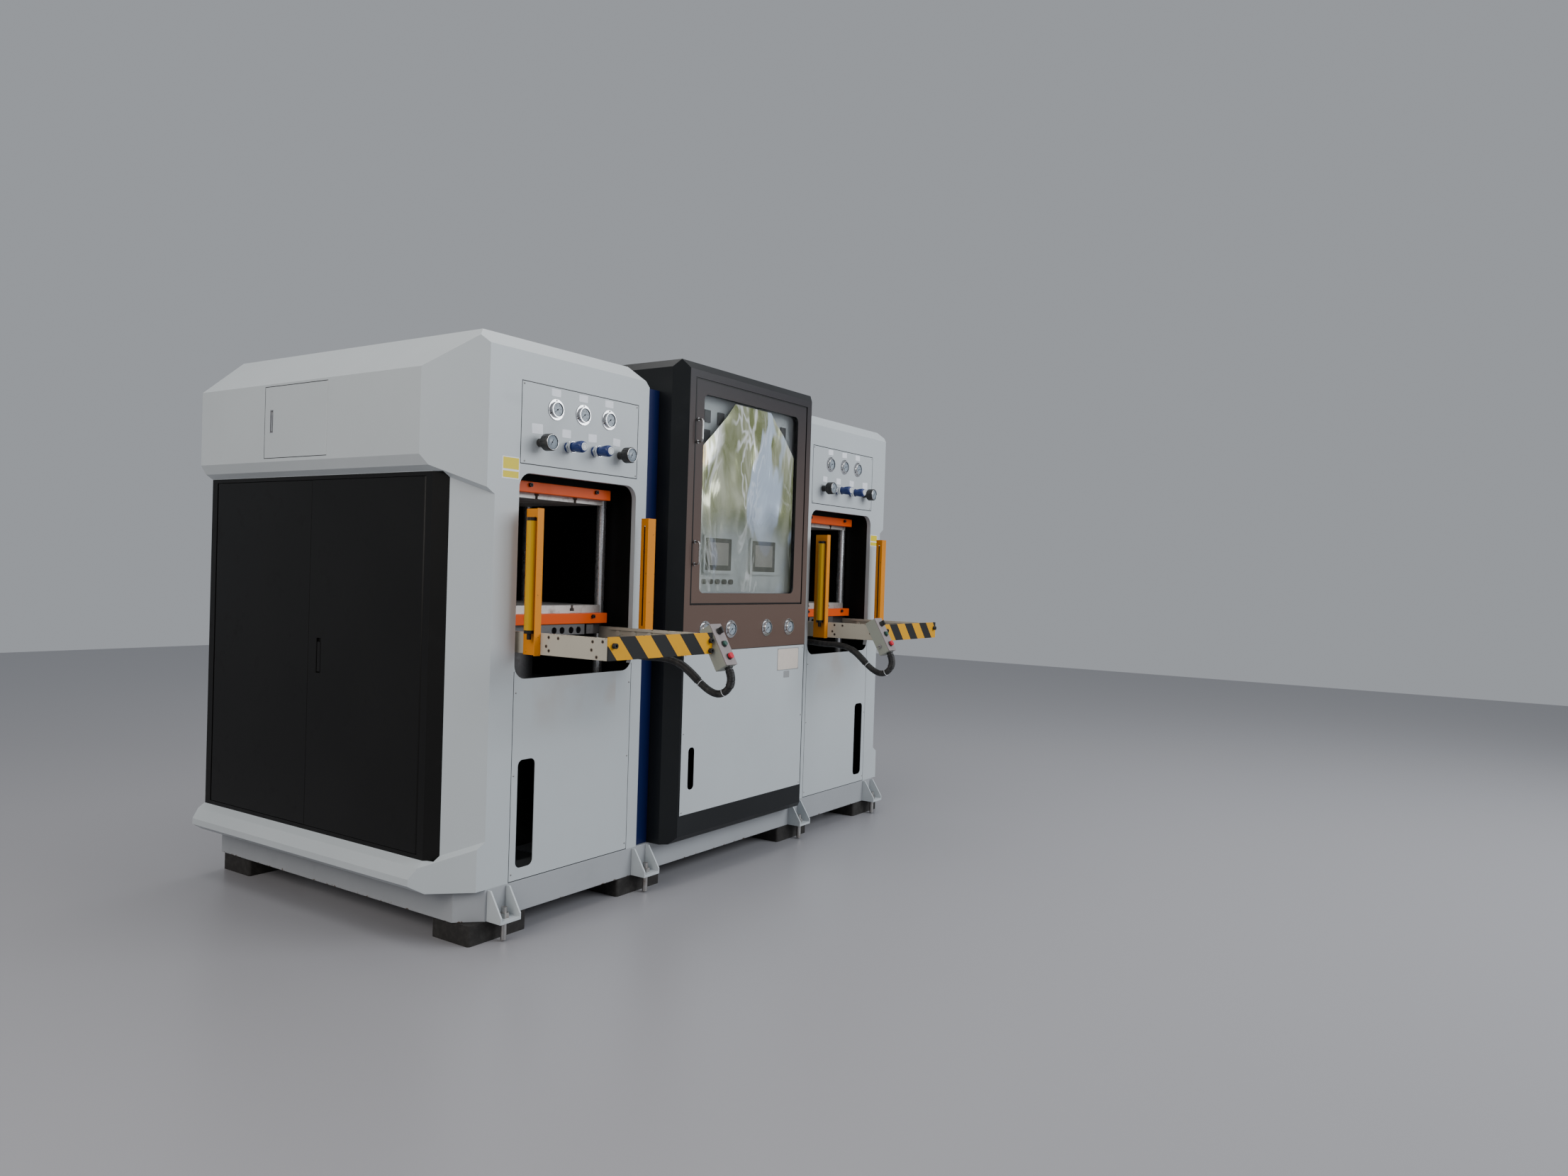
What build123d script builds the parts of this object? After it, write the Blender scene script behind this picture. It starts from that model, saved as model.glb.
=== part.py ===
from build123d import *
import math
import os

# Twin-station hydraulic moulding press: two press stations stand on one welded
# base with the control cabinet between them. Each station has a fixed upper
# platen and a lower platen that its ram lifts along four guide columns.
# All sizes are millimetres. X runs along the front, Y into the machine and Z
# up from the floor. A station is drawn about its own centre line with its
# front sheet at Y = 0, and its outer side towards -X.

# Overall
depth = 1746.0
pad_height = 82.0
rail_height = 127.0
sheet = 3.0
fit = 0.05
seam = 1.0
seat = 0.3

base_top = pad_height + rail_height

# Station outline in plan: the hood and the skirt stand out past the waist
inner_edge = 420.0
hood_side = -695.0
hood_facet = -515.0
hood_fold = hood_side + 25.0
waist_side = -640.0
waist_facet = -475.0
post_start = 120.0

# Heights where the hood steps in to the waist, and the waist out to the skirt
hood_waist = 1845.0
roof_z = hood_waist + 565.0
hood_low = hood_waist + 60.0
hood_fold_z = hood_waist + 20.0
hood_tip = hood_waist - 55.0
waist_tip = hood_waist - 80.0
skirt_waist = 330.0
skirt_fold_z = skirt_waist - 20.0
skirt_high = skirt_waist - 64.0
skirt_tip = skirt_waist + 47.0
skirt_waist_tip = skirt_waist + 71.0
skirt_low = 239.0
skirt_tuck = 45.0

# Roof slopes, each given by the height where it leaves its wall
front_top = roof_z - 60.0
side_top = roof_z - 169.0
side_slope = 0.89
inner_top = roof_z - 85.0

# Work opening, gauge plate and lower panel in the front sheet
opening_half = 350.0
opening_low = 1030.0
opening_high = 1864.0
opening_radius = 60.0
lip_reach = 25.0
panel_half = 351.0
panel_bottom_gap = 2.0
panel_horn = 32.0
plate_half = 350.0
plate_low = roof_z - 511.0
plate_high = plate_low + 334.0
seat_width = 22.0
slot_outer = -316.0
slot_inner = -223.0
slot_low = 260.0
slot_high = 701.0
slot_radius = 25.0

# Pressure gauges and regulator knobs
gauge_flange = 44.0
gauge_body = 31.0
gauge_hole = 32.0
gauge_pitch = 159.0
gauge_offset = -3.0
gauge_z = plate_high - 94.0
knob_pitch = 160.0
knob_offset = -8.0
knob_z = plate_low + 93.0
knob_shaft = 10.0
black_knob_radius = 35.0
black_knob_reach = 75.0
blue_knob_radius = 25.0
blue_knob_reach = 96.0

# Press frame, platens, guide columns and ram
cheek_inner = 375.0
cheek_thickness = 40.0
cheek_front = 30.0
cheek_back = 870.0
cheek_top = 2150.0
platen_half = 294.0
platen_front = 150.0
platen_back = 750.0
crown_low = 1842.0
crown_high = 2100.0
crown_overhang = 20.0
bed_low = 850.0
bed_high = 960.0
upper_platen_low = 1775.0
table_low = 1190.0
table_high = 1250.0
lower_platen_high = 1320.0
ear_height = 45.0
bar_half = 290.0
bar_thickness = 48.0
bar_height = 46.0
lower_bar_drop = 10.0
bar_bolt_x = 197.0
tslot_pitch = 115.0
tslot_neck = 14.0
tslot_head = 26.0
tslot_neck_depth = 14.0
tslot_head_depth = 12.0
column_radius = 22.0
column_x = 345.0
column_inset = 55.0
cylinder_radius = 160.0
cylinder_low = 250.0
cylinder_floor = 40.0
flange_radius = 200.0
flange_thickness = 25.0
ram_radius = 125.0
ram_foot = 10.0
terminal_places = (-27.0, 20.0, 75.0, 120.0)

# Power unit behind the press frame: oil tank with motor, pump and valve block
tank_front = 960.0
tank_back = 1480.0
tank_high = 640.0
motor_radius = 105.0
motor_length = 330.0
line_radius = 14.0

# Arms with rollers, hazard bar and light curtain
arm_outer = 324.0
arm_thickness = 14.0
arm_low = 1137.0
arm_high = 1222.0
arm_front = -474.0
arm_back = 168.0
rail_width = 12.0
roller_radius = 13.0
roller_count = 6
bar_plate = 6.0
hazard_top = 1228.0
post_front = -118.0
post_low = 1133.0
post_high = 1718.0
post_sheet = 4.0
post_flange = 95.0
post_leg = 34.0
slot_post_front = -100.0
slot_post_flange = 41.0
slot_post_leg = 52.0
slot_half = 4.5
tube_radius = 21.0
tube_low = 1220.0
tube_high = 1682.0
tube_cap = 14.0

# Control box on the end of the inner arm; its face leans back
box_tilt = 30.0
box_length = 196.0
box_width = 78.0
box_depth = 61.0
box_wall = 3.0
lid_thickness = 5.0
box_y = -480.0
box_z = 1161.0
button_pitch = 60.0
button_radius = 11.0
button_travel = 4.0
bezel_radius = 15.0
bezel_height = 5.0
lock_radius = 8.0
hose_radius = 16.5
gland_radius = 18.0
gland_length = 8.0
gland_offset = 12.0

# Control cabinet, and the filler strip between it and a station
cabinet_half = 590.0
filler_width = 90.0
cabinet_front = -120.0
cabinet_chamfer = 60.0
cabinet_roof = 2473.0
cabinet_back = depth - 46.0
bevel_run = 30.0
bevel_rise = 38.0
door_half = cabinet_half - 105.0
door_low = 1330.0
door_high = 2398.0
door_thickness = 22.0
door_gap = 2.0
door_pin = 5.0
window_left = 65.0 - door_half
window_right = door_half - 87.0
window_low = 1385.0
window_high = 2330.0
window_radius = 30.0
pane_margin = 16.0
pane_thickness = 4.0
rebate_depth = 6.0
jamb_depth = 60.0
jamb_wall = 8.0
service_half = cabinet_half - 68.0
service_low = 337.0
service_high = 1107.0
cabinet_gauge_z = 1208.0
cabinet_gauge_x = (-365.0, -157.0, 157.0, 365.0)
handle_z = (2150.0, 1575.0)
handle_inset = 17.0
handle_length = 105.0
handle_wire = 4.5
controller_rows = 4
controller_columns = 7

# Side doors and the access door in the hood
side_door_thickness = 20.0
side_door_low = skirt_waist + 20.0
side_door_high = hood_waist - 20.0
side_door_front = 205.0
side_door_split = side_door_front + 748.5
side_door_back = depth - 48.0
side_door_rim = 24.0
hinge_pin = 4.0
pin_length = 20.0
hood_door_front = 776.0
hood_door_back = hood_door_front + 456.0
hood_door_low = hood_low + 15.0
hood_door_high = side_top - 10.0
hood_door_thickness = 14.0
hood_door_rim = 18.0
hood_pin = 3.0

# Base frame, pads and anchor feet
base_inset = 141.0
base_chamfer = 87.0
window_half = 360.0
pad_length = 296.0
pad_depth = 220.0
pad_outer_inset = 159.0
pad_inner_offset = 62.0
foot_outer_inset = 149.0
foot_inner_offset = 67.0
foot_width = 105.0
foot_reach = 82.0
foot_sheet = 8.0
foot_plate = 12.0
jack_radius = 12.0

station_centre = cabinet_half + filler_width + inner_edge
base_half = station_centre - hood_side - base_inset
middle_y = (platen_front + platen_back) / 2
column_front = platen_front + column_inset
column_back = platen_back - column_inset
beyond = 4000.0

pieces = {}


def block(x0, x1, y0, y1, z0, z1):
    return Pos((x0 + x1) / 2, (y0 + y1) / 2, (z0 + z1) / 2) * Box(x1 - x0, y1 - y0, z1 - z0)


def side_block(side, near, far, y0, y1, z0, z1):
    # near and far are distances from the centre line, on the side -1 or 1
    x0, x1 = sorted((side * near, side * far))
    return block(x0, x1, y0, y1, z0, z1)


def plan_prism(points, z0, z1):
    face = make_face(Polyline(*points, close=True))
    return Pos(0, 0, z0) * extrude(face, amount=z1 - z0, dir=(0, 0, 1))


def side_prism(points, x0, x1):
    # points are (y, z) pairs
    face = make_face(Plane.YZ * Polyline(*points, close=True))
    return Pos(x0, 0, 0) * extrude(face, amount=x1 - x0, dir=(1, 0, 0))


def front_sketch(sketch, y0, y1):
    # the sketch is drawn in (x, z) and stands between y0 and y1
    return Pos(0, y0, 0) * extrude(Plane.XZ * sketch, amount=-(y1 - y0))


def rounded(x0, x1, z0, z1, radius):
    return Pos((x0 + x1) / 2, (z0 + z1) / 2) * RectangleRounded(x1 - x0, z1 - z0, radius)


def rod_z(x, y, z0, z1, radius):
    return Pos(x, y, (z0 + z1) / 2) * Cylinder(radius, z1 - z0)


def rod_y(x, z, y0, y1, radius):
    return Pos(x, (y0 + y1) / 2, z) * Rot(90, 0, 0) * Cylinder(radius, y1 - y0)


def rod_x(y, z, x0, x1, radius):
    return Pos((x0 + x1) / 2, y, z) * Rot(0, 90, 0) * Cylinder(radius, x1 - x0)


def turned(points, x, z):
    # profile points are (radius, y), turned about a line along Y
    face = make_face(Polyline(*points, close=True))
    return Pos(x, 0, z) * revolve(face, axis=Axis.Y)


def keep_side(part, point, normal):
    return split(part, bisect_by=Plane(origin=point, z_dir=normal), keep=Keep.TOP)


def to_left(part):
    return Pos(-station_centre, 0, 0) * part


def to_right(part):
    # the right station is the left one seen in a mirror
    return mirror(to_left(part), about=Plane.YZ)


def both(part):
    return [to_left(part), to_right(part)]


def keep(name, parts):
    parts = parts if isinstance(parts, list) else [parts]
    pieces[name] = [solid for part in parts for solid in part.solids()]


# Station shell: one welded sheet housing, open at the back, at the bottom and at the side doors

def outline(side, facet, inset, back):
    shift = facet + inset * math.sqrt(2)
    right = inner_edge - inset
    left = side + inset
    return [(right, inset), (shift - inset, inset), (left, shift - left), (left, back), (right, back)]


def past(point, normal, inset):
    # the point moved along the normal, so that the cut leaves a wall of that thickness
    length = math.sqrt(sum(n * n for n in normal))
    return tuple(p + inset * n / length for p, n in zip(point, normal))


def cross(a, b):
    return (a[1] * b[2] - a[2] * b[1], a[2] * b[0] - a[0] * b[2], a[0] * b[1] - a[1] * b[0])


def facet_normal(corner, tip, inner_tip, upward):
    along = tuple(b - a for a, b in zip(corner, tip))
    step = tuple(b - a for a, b in zip(tip, inner_tip))
    normal = cross(along, step)
    flip = -1 if (normal[2] > 0) != upward else 1
    return tuple(flip * n for n in normal)


def hood_block(inset, back):
    hood = plan_prism(outline(hood_side, hood_facet, inset, back), waist_tip - 40, roof_z - inset)
    for x, z, inner_x, inner_z in ((hood_side, hood_low, hood_fold, hood_fold_z),
                                   (hood_fold, hood_fold_z, waist_side, hood_waist)):
        normal = (z - inner_z, 0, inner_x - x)
        hood = keep_side(hood, past((x, 0, z), normal, inset), normal)
    tip = (hood_facet, 0, hood_tip)
    corner = (hood_fold, hood_facet - hood_fold, hood_fold_z)
    normal = facet_normal(corner, tip, (waist_facet, 0, waist_tip), True)
    return keep_side(hood, past(tip, normal, inset), normal)


def skirt_block(inset, low, back):
    skirt = plan_prism(outline(hood_side, hood_facet, inset, back), low, skirt_waist_tip + 40)
    for x, z, inner_x, inner_z in ((hood_side, skirt_high, hood_fold, skirt_fold_z),
                                   (hood_fold, skirt_fold_z, waist_side, skirt_waist)):
        normal = (inner_z - z, 0, x - inner_x)
        skirt = keep_side(skirt, past((x, 0, z), normal, inset), normal)
    tip = (hood_facet, 0, skirt_tip)
    corner = (hood_fold, hood_facet - hood_fold, skirt_fold_z)
    normal = facet_normal(corner, tip, (waist_facet, 0, skirt_waist_tip), False)
    skirt = keep_side(skirt, past(tip, normal, inset), normal)
    normal = (skirt_low - base_top, 0, skirt_tuck)
    return keep_side(skirt, past((hood_side, 0, skirt_low), normal, inset), normal)


def envelope(inset):
    low = base_top - inset * 5
    back = depth + inset * 5
    waist = plan_prism(outline(waist_side, waist_facet, inset, back), low, roof_z - inset)
    body = waist + hood_block(inset, back) + skirt_block(inset, low, back)
    body = keep_side(body, past((0, 0, front_top), (0, 1, -1), inset), (0, 1, -1))
    normal = (side_slope, 0, -1)
    body = keep_side(body, past((hood_side, 0, side_top), normal, inset), normal)
    normal = (-1, 0, -1)
    return keep_side(body, past((inner_edge, 0, inner_top), normal, inset), normal)


def opening_sketch(grow):
    return rounded(-opening_half - grow, opening_half + grow, opening_low - grow, opening_high + grow,
                   opening_radius + grow)


def seat_ring(half, low, high):
    # flat strip behind the front sheet that a flush plate is screwed to
    outer = rounded(-half - seat_width / 2, half + seat_width / 2, low - seat_width / 2, high + seat_width / 2, 1)
    inner = rounded(-half + seat_width, half - seat_width, low + seat_width, high - seat_width, 1)
    return front_sketch(outer - inner, sheet, 2 * sheet)


def panel_seats():
    # two upright strips and a foot strip behind the lower panel
    top = opening_low - seat_width
    strips = block(-panel_half, panel_half, sheet, 2 * sheet, base_top, base_top + seat_width)
    for side in (-1, 1):
        strips += side_block(side, panel_half - seat_width, panel_half + seat_width, sheet, 2 * sheet, base_top, top)
    return strips


def hood_jamb():
    # return edge round the access door, with its two hinge pins
    inner = hood_side + hood_door_rim
    ring = block(hood_side + 1, inner, hood_door_front - 6, hood_door_back + 6, hood_door_low - 6, hood_door_high + 6)
    ring -= block(hood_side - 5, inner + 5, hood_door_front - seam, hood_door_back + seam,
                  hood_door_low - seam, hood_door_high + seam)
    x = hood_side + hood_door_thickness / 2
    y = hood_door_front + hood_door_thickness / 2
    ring += rod_z(x, y, hood_door_low - seam - 2, hood_door_low + pin_length / 2, hood_pin)
    ring += rod_z(x, y, hood_door_high - pin_length / 2, hood_door_high + seam + 2, hood_pin)
    return ring


def station_shell():
    shell = envelope(0) - envelope(sheet)
    horn_z = opening_low + panel_horn
    shell -= front_sketch(opening_sketch(0), -1, sheet + 1)
    shell -= block(-panel_half - seam, panel_half + seam, -1, sheet + 1, base_top - 1, horn_z)
    shell -= block(-plate_half - seam, plate_half + seam, -1, sheet + 1, plate_low - seam, plate_high + seam)
    lip = front_sketch(opening_sketch(sheet) - opening_sketch(0), sheet, lip_reach)
    shell += lip & block(-beyond, beyond, 0, lip_reach, horn_z, opening_high + sheet)
    shell += panel_seats()
    shell += seat_ring(plate_half, plate_low, plate_high)
    shell -= block(waist_side - 1, waist_side + 50, post_start, depth + 1, skirt_waist + 1, hood_waist - 1)
    shell -= block(hood_side - 1, hood_side + sheet + 1, hood_door_front - seam, hood_door_back + seam,
                   hood_door_low - seam, hood_door_high + seam)
    return shell + hood_jamb()


def lower_panel():
    low = base_top + panel_bottom_gap
    high = opening_low + panel_horn - seam
    sketch = Pos(0, (low + high) / 2) * Rectangle(2 * panel_half, high - low)
    sketch -= opening_sketch(0)
    sketch -= rounded(slot_outer, slot_inner, slot_low, slot_high, slot_radius)
    return front_sketch(sketch, 0, sheet)


def knob_places():
    return [knob_offset + (i - 1.5) * knob_pitch for i in range(4)]


def gauge_places():
    return [gauge_offset + (i - 1) * gauge_pitch for i in range(3)]


def gauge_plate():
    sketch = Pos(0, (plate_low + plate_high) / 2) * Rectangle(2 * plate_half, plate_high - plate_low)
    for x in gauge_places():
        sketch -= Pos(x, gauge_z) * Circle(gauge_hole)
    for x in knob_places():
        sketch -= Pos(x, knob_z) * Circle(knob_shaft + fit)
    return front_sketch(sketch, 0, sheet)


def rear_panel():
    # lift-off back panel inside the shell's walls
    back = depth - 1
    slab = block(-beyond, beyond, back - sheet, back, base_top + 1, roof_z)
    return envelope(sheet + seat) & slab


# Gauges and knobs

def gauge(x, z, y):
    # flanged case with a raised rim, its stub pipe behind the plate
    rim = 33.0
    profile = [(0, y - 10), (rim - 4, y - 10), (rim - 4, y - 15), (rim - 1, y - 15), (rim, y - 12),
               (rim + 1, y - 4), (gauge_flange - 1, y - 4), (gauge_flange, y - 3), (gauge_flange, y),
               (gauge_body, y), (gauge_body, y + 38), (12, y + 38), (12, y + 62), (0, y + 62)]
    return turned(profile, x, z)


def black_knob(x):
    r = black_knob_radius
    front = -black_knob_reach
    profile = [(0, front + 3), (r - 5, front + 3), (r - 5, front), (r - 2, front), (r, front + 3),
               (r, front + 36), (r - 5, front + 42), (r / 2, front + 46), (r / 2, -seat), (knob_shaft, -seat),
               (knob_shaft, 30), (0, 30)]
    knob = turned(profile, x, knob_z)
    for i in range(12):
        angle = math.radians(i * 30)
        knob -= rod_y(x + (r + 1) * math.cos(angle), knob_z + (r + 1) * math.sin(angle), front + 8, front + 34, 2.4)
    return knob


def blue_knob(x):
    r = blue_knob_radius
    front = -blue_knob_reach
    profile = [(0, front), (r - 9, front), (r - 4, front + 3), (r, front + 12), (r - 1, front + 30),
               (r - 6, front + 62), (r - 3, front + 64), (r - 3, -seat), (knob_shaft, -seat),
               (knob_shaft, 30), (0, 30)]
    knob = turned(profile, x, knob_z)
    for i in range(8):
        angle = math.radians(i * 45)
        knob -= rod_y(x + (r + 2) * math.cos(angle), knob_z + (r + 2) * math.sin(angle), front + 6, front + 56, 4.5)
    return knob


# Press frame, platens and ram

def press_frame():
    cheek_outer = cheek_inner + cheek_thickness
    front = platen_front - crown_overhang
    back = platen_back + crown_overhang
    frame = block(-cheek_inner, cheek_inner, front, back, crown_low, crown_high)
    frame += block(-cheek_inner, cheek_inner, platen_front, platen_back, bed_low, bed_high)
    for side in (-1, 1):
        frame += side_block(side, cheek_inner, cheek_outer, cheek_front, cheek_back, base_top, cheek_top)
    return frame - rod_z(0, middle_y, bed_low - 1, bed_high + 1, cylinder_radius + fit)


def tslots(face, upward):
    # pair of T-slots from front to back, open at the platen's working face
    sign = -1 if upward else 1
    neck_end = face + sign * tslot_neck_depth
    head_end = neck_end + sign * tslot_head_depth
    cuts = []
    for x in (-tslot_pitch, tslot_pitch):
        z0, z1 = sorted((face - sign, neck_end))
        cuts.append(block(x - tslot_neck / 2, x + tslot_neck / 2, platen_front - 1, platen_back + 1, z0, z1))
        z0, z1 = sorted((neck_end, head_end))
        cuts.append(block(x - tslot_head / 2, x + tslot_head / 2, platen_front - 1, platen_back + 1, z0, z1))
    return cuts


def platen(low, high, upward):
    plate = block(-platen_half, platen_half, platen_front, platen_back, low, high)
    for cut in tslots(high if upward else low, upward):
        plate -= cut
    return plate


def clamp_bar(low):
    # bar bolted to the platen's front edge by two socket screws
    front = platen_front - bar_thickness
    bar = block(-bar_half, bar_half, front, platen_front, low, low + bar_height)
    bar = fillet(bar.edges().filter_by(Axis.X).group_by(Axis.Y)[0], 3)
    for x in (-bar_bolt_x, bar_bolt_x):
        bar += rod_y(x, low + bar_height - 15, front - 10, front + 1, 9)
        bar -= rod_y(x, low + bar_height - 15, front - 11, front - 5, 4)
    return bar


def ram_table():
    table = block(-platen_half, platen_half, platen_front, platen_back, table_low, table_high)
    for side in (-1, 1):
        for y in (column_front, column_back):
            reach = column_x + column_radius + 4
            half = column_radius + 5
            table += side_block(side, platen_half - 1, reach, y - half, y + half, table_low, table_low + ear_height)
            table -= rod_z(side * column_x, y, table_low - 1, table_low + ear_height + 1, column_radius + fit)
    table += rod_z(0, middle_y, cylinder_low + cylinder_floor + ram_foot, table_low, ram_radius)
    # heater terminal block with four sockets, and a clamp, under the front edge
    front = platen_front - 38
    terminal = block(-112, 158, front, platen_front, table_low + 2, table_low + 48)
    for x in terminal_places:
        terminal -= rod_y(x, table_low + 22, front - 1, front + 22, 15)
    clamp = block(174, 217, front + 4, platen_front, table_low + 4, table_low + 44)
    return table + terminal + clamp


def cylinder():
    body = rod_z(0, middle_y, cylinder_low, bed_high, cylinder_radius)
    body += rod_z(0, middle_y, bed_high, bed_high + flange_thickness, flange_radius)
    bore_low = cylinder_low + cylinder_floor
    return body - rod_z(0, middle_y, bore_low, bed_high + flange_thickness + 1, ram_radius + fit)


def guide_columns():
    places = [(side * column_x, y) for side in (-1, 1) for y in (column_front, column_back)]
    return [rod_z(x, y, bed_high, crown_low, column_radius) for x, y in places]


def power_unit():
    tank = block(-cheek_inner, cheek_inner, tank_front, tank_back, base_top, tank_high)
    tank = fillet(tank.edges().filter_by(Axis.Z), 20)
    axis_z = tank_high + motor_radius + 15
    y = (tank_front + tank_back) / 2
    motor = rod_x(y, axis_z, -60, motor_length - 60, motor_radius)
    motor += block(-20, motor_length - 100, y - 80, y + 80, tank_high, axis_z)
    pump = rod_x(y, axis_z, -140, -60, 60)
    pump += block(-230, -140, y - 50, y + 50, axis_z - 60, axis_z + 60)
    valves = block(-300, -170, tank_front + 20, tank_front + 130, tank_high, tank_high + 190)
    valves += rod_x(tank_front + 75, tank_high + 150, -350, -120, 24)
    unit = tank + motor + pump + valves
    # pressure line from the valve block down to the cylinder's wall
    x = -235.0
    end_x = -60.0
    drop_y = tank_front - 60
    line_z = cylinder_low + 140
    start = (x, tank_front + 20, tank_high + 60)
    end_y = middle_y + math.sqrt(cylinder_radius**2 - end_x**2) + line_radius
    route = [start, (x, drop_y, tank_high + 60), (x, drop_y, line_z), (end_x, drop_y, line_z), (end_x, end_y, line_z)]
    path = FilletPolyline(*route, radius=40)
    return unit + sweep(Plane(origin=start, z_dir=(0, -1, 0)) * Circle(line_radius), path=path)


# Arms with rollers, hazard bar, light curtain

def side_arm(side):
    inner = arm_outer - arm_thickness
    arm = side_block(side, inner, arm_outer, arm_front, arm_back, arm_low, arm_high)
    arm += side_block(side, arm_outer, cheek_inner, cheek_front, platen_front, arm_low + 3, arm_high - 7)
    arm += side_block(side, inner - rail_width, inner, arm_front, platen_front - 60, arm_high - 12, arm_high)
    run = (platen_front - 60 - arm_front) / roller_count
    x0, x1 = sorted((side * inner, side * (inner - rail_width)))
    for i in range(roller_count):
        arm += rod_x(arm_front + (i + 0.5) * run, arm_high - 13 - roller_radius, x0, x1, roller_radius)
    return arm


def conduit_bulkhead():
    # plate under the inner arm's foot that the hose is screwed into
    x, y, z = hose_route()[-1]
    plate = block(x - 25, cheek_inner, y + gland_length + 12, y + gland_length + 18, z - 28, arm_low + 3)
    return plate + rod_y(x, z, y, y + gland_length + 12, gland_radius)


def inner_arm():
    return side_arm(1) + conduit_bulkhead()


def hazard_bar():
    front = arm_front - bar_plate
    bar = block(-arm_outer, arm_outer, front, arm_front, arm_low, hazard_top)
    for x, z in ((29 - arm_outer, arm_high - 28), (arm_outer - 18, arm_high - 28), (arm_outer - 18, arm_high - 71)):
        bar += rod_y(x, z, front - 16, front, 11)
        bar -= rod_y(x, z, front - 17, front - 9, 5)
    return bar


def post_size(side):
    # front face, depth of the flange on the arm, and width of the leg across it
    if side < 0:
        return post_front, post_flange, post_leg
    return slot_post_front, slot_post_flange, slot_post_leg


def tube_spot(side):
    # centre of the tube in plan: against the flange, a little ahead of its middle
    front, flange, leg = post_size(side)
    behind = max(0.42 * flange, post_sheet + tube_radius + seat)
    return side * (arm_outer + post_sheet + tube_radius + seat), front + behind


def light_post(side):
    front, flange, leg = post_size(side)
    post = side_block(side, arm_outer, arm_outer + post_sheet, front, front + flange, post_low, post_high)
    post += side_block(side, arm_outer, arm_outer + leg, front, front + post_sheet, post_low, post_high)
    middle = front + flange / 2
    slot = side_block(side, arm_outer - 1, arm_outer + post_sheet + 1, middle - slot_half, middle + slot_half,
                      arm_high + 13, post_high - 33)
    return post - slot


def light_tube(side):
    x, y = tube_spot(side)
    tube = rod_z(x, y, tube_low, tube_high, tube_radius)
    # slimmer middle between the two end caps, and the plug under the lower one
    sleeve = rod_z(x, y, tube_low + tube_cap, tube_high - tube_cap, tube_radius + 1)
    sleeve -= rod_z(x, y, tube_low + tube_cap, tube_high - tube_cap, tube_radius - 1)
    return tube - sleeve + rod_z(x, y, tube_low - 24, tube_low, 9)


# Control box: drawn flat with its long side along Y and its face up, then set on the arm

def box_frame():
    lean = math.radians(box_tilt)
    x = arm_outer + 2 + box_width / 2
    return Plane(origin=(x, box_y, box_z), x_dir=(1, 0, 0), z_dir=(0, -math.cos(lean), math.sin(lean)))


def box_place(part):
    return box_frame().location * part


def control_box(with_lock):
    body = fillet(Box(box_width, box_length, box_depth).edges().filter_by(Axis.Z), 4)
    cavity = Box(box_width - 2 * box_wall, box_length - 2 * box_wall, box_depth)
    body -= Pos(0, 0, box_wall) * cavity
    # strap between the box and the end of the arm
    body += Pos(-box_width / 2 - 1, 10, -box_depth / 2 + 18) * Box(2, 60, 30)
    gland = Pos(0, -box_length / 2 - gland_length / 2, gland_offset) * Rot(90, 0, 0)
    body += gland * Cylinder(gland_radius, gland_length)
    if with_lock:
        body += lock_place(-box_wall - 4) * Cylinder(lock_radius + 5, 8)
        body -= lock_place(0) * Cylinder(lock_radius + fit, 60)
    return box_place(body)


def lock_place(height):
    # on the outer side wall near the lower end, with the lock's +Z pointing outwards
    return Pos(box_width / 2 + height, -box_length / 2 + 45, -5) * Rot(0, 90, 0)


def key_switch():
    lock = lock_place(-4) * Cylinder(lock_radius, 14)
    lock += lock_place(seat + 1.5) * Cylinder(lock_radius + 3, 3)
    lock += lock_place(seat + 9) * Box(9, 3, 12)
    lock += lock_place(seat + 22) * Box(22, 3, 14)
    return box_place(lock)


def box_lid():
    lid = fillet(Box(box_width, box_length, lid_thickness).edges().filter_by(Axis.Z), 4)
    for v in (-button_pitch, 0, button_pitch):
        lid += Pos(0, v, (lid_thickness + bezel_height) / 2) * Cylinder(bezel_radius, bezel_height)
        lid += Pos(0, v, -(lid_thickness + 20) / 2) * Cylinder(bezel_radius, 20)
        lid -= Pos(0, v, 0) * Cylinder(button_radius + fit, 120)
    return box_place(Pos(0, 0, (box_depth + lid_thickness) / 2) * lid)


def face_height():
    # top of the bezels above the middle of the box
    return box_depth / 2 + lid_thickness + bezel_height


def push_button(v, cap_radius, cap_height):
    top = face_height() + button_travel + seat
    button = Pos(0, v, top - 14) * Cylinder(button_radius, 28)
    button += Pos(0, v, top + cap_height / 2) * Cylinder(cap_radius, cap_height)
    return box_place(button)


def selector_knob():
    top = face_height() + seat
    knob = Pos(0, button_pitch, top - 12) * Cylinder(button_radius, 24)
    knob += Pos(0, button_pitch, top + 4) * Cylinder(bezel_radius - 1, 8)
    knob += Pos(0, button_pitch, top + 14) * Box(9, 27, 12)
    return box_place(knob)


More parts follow.
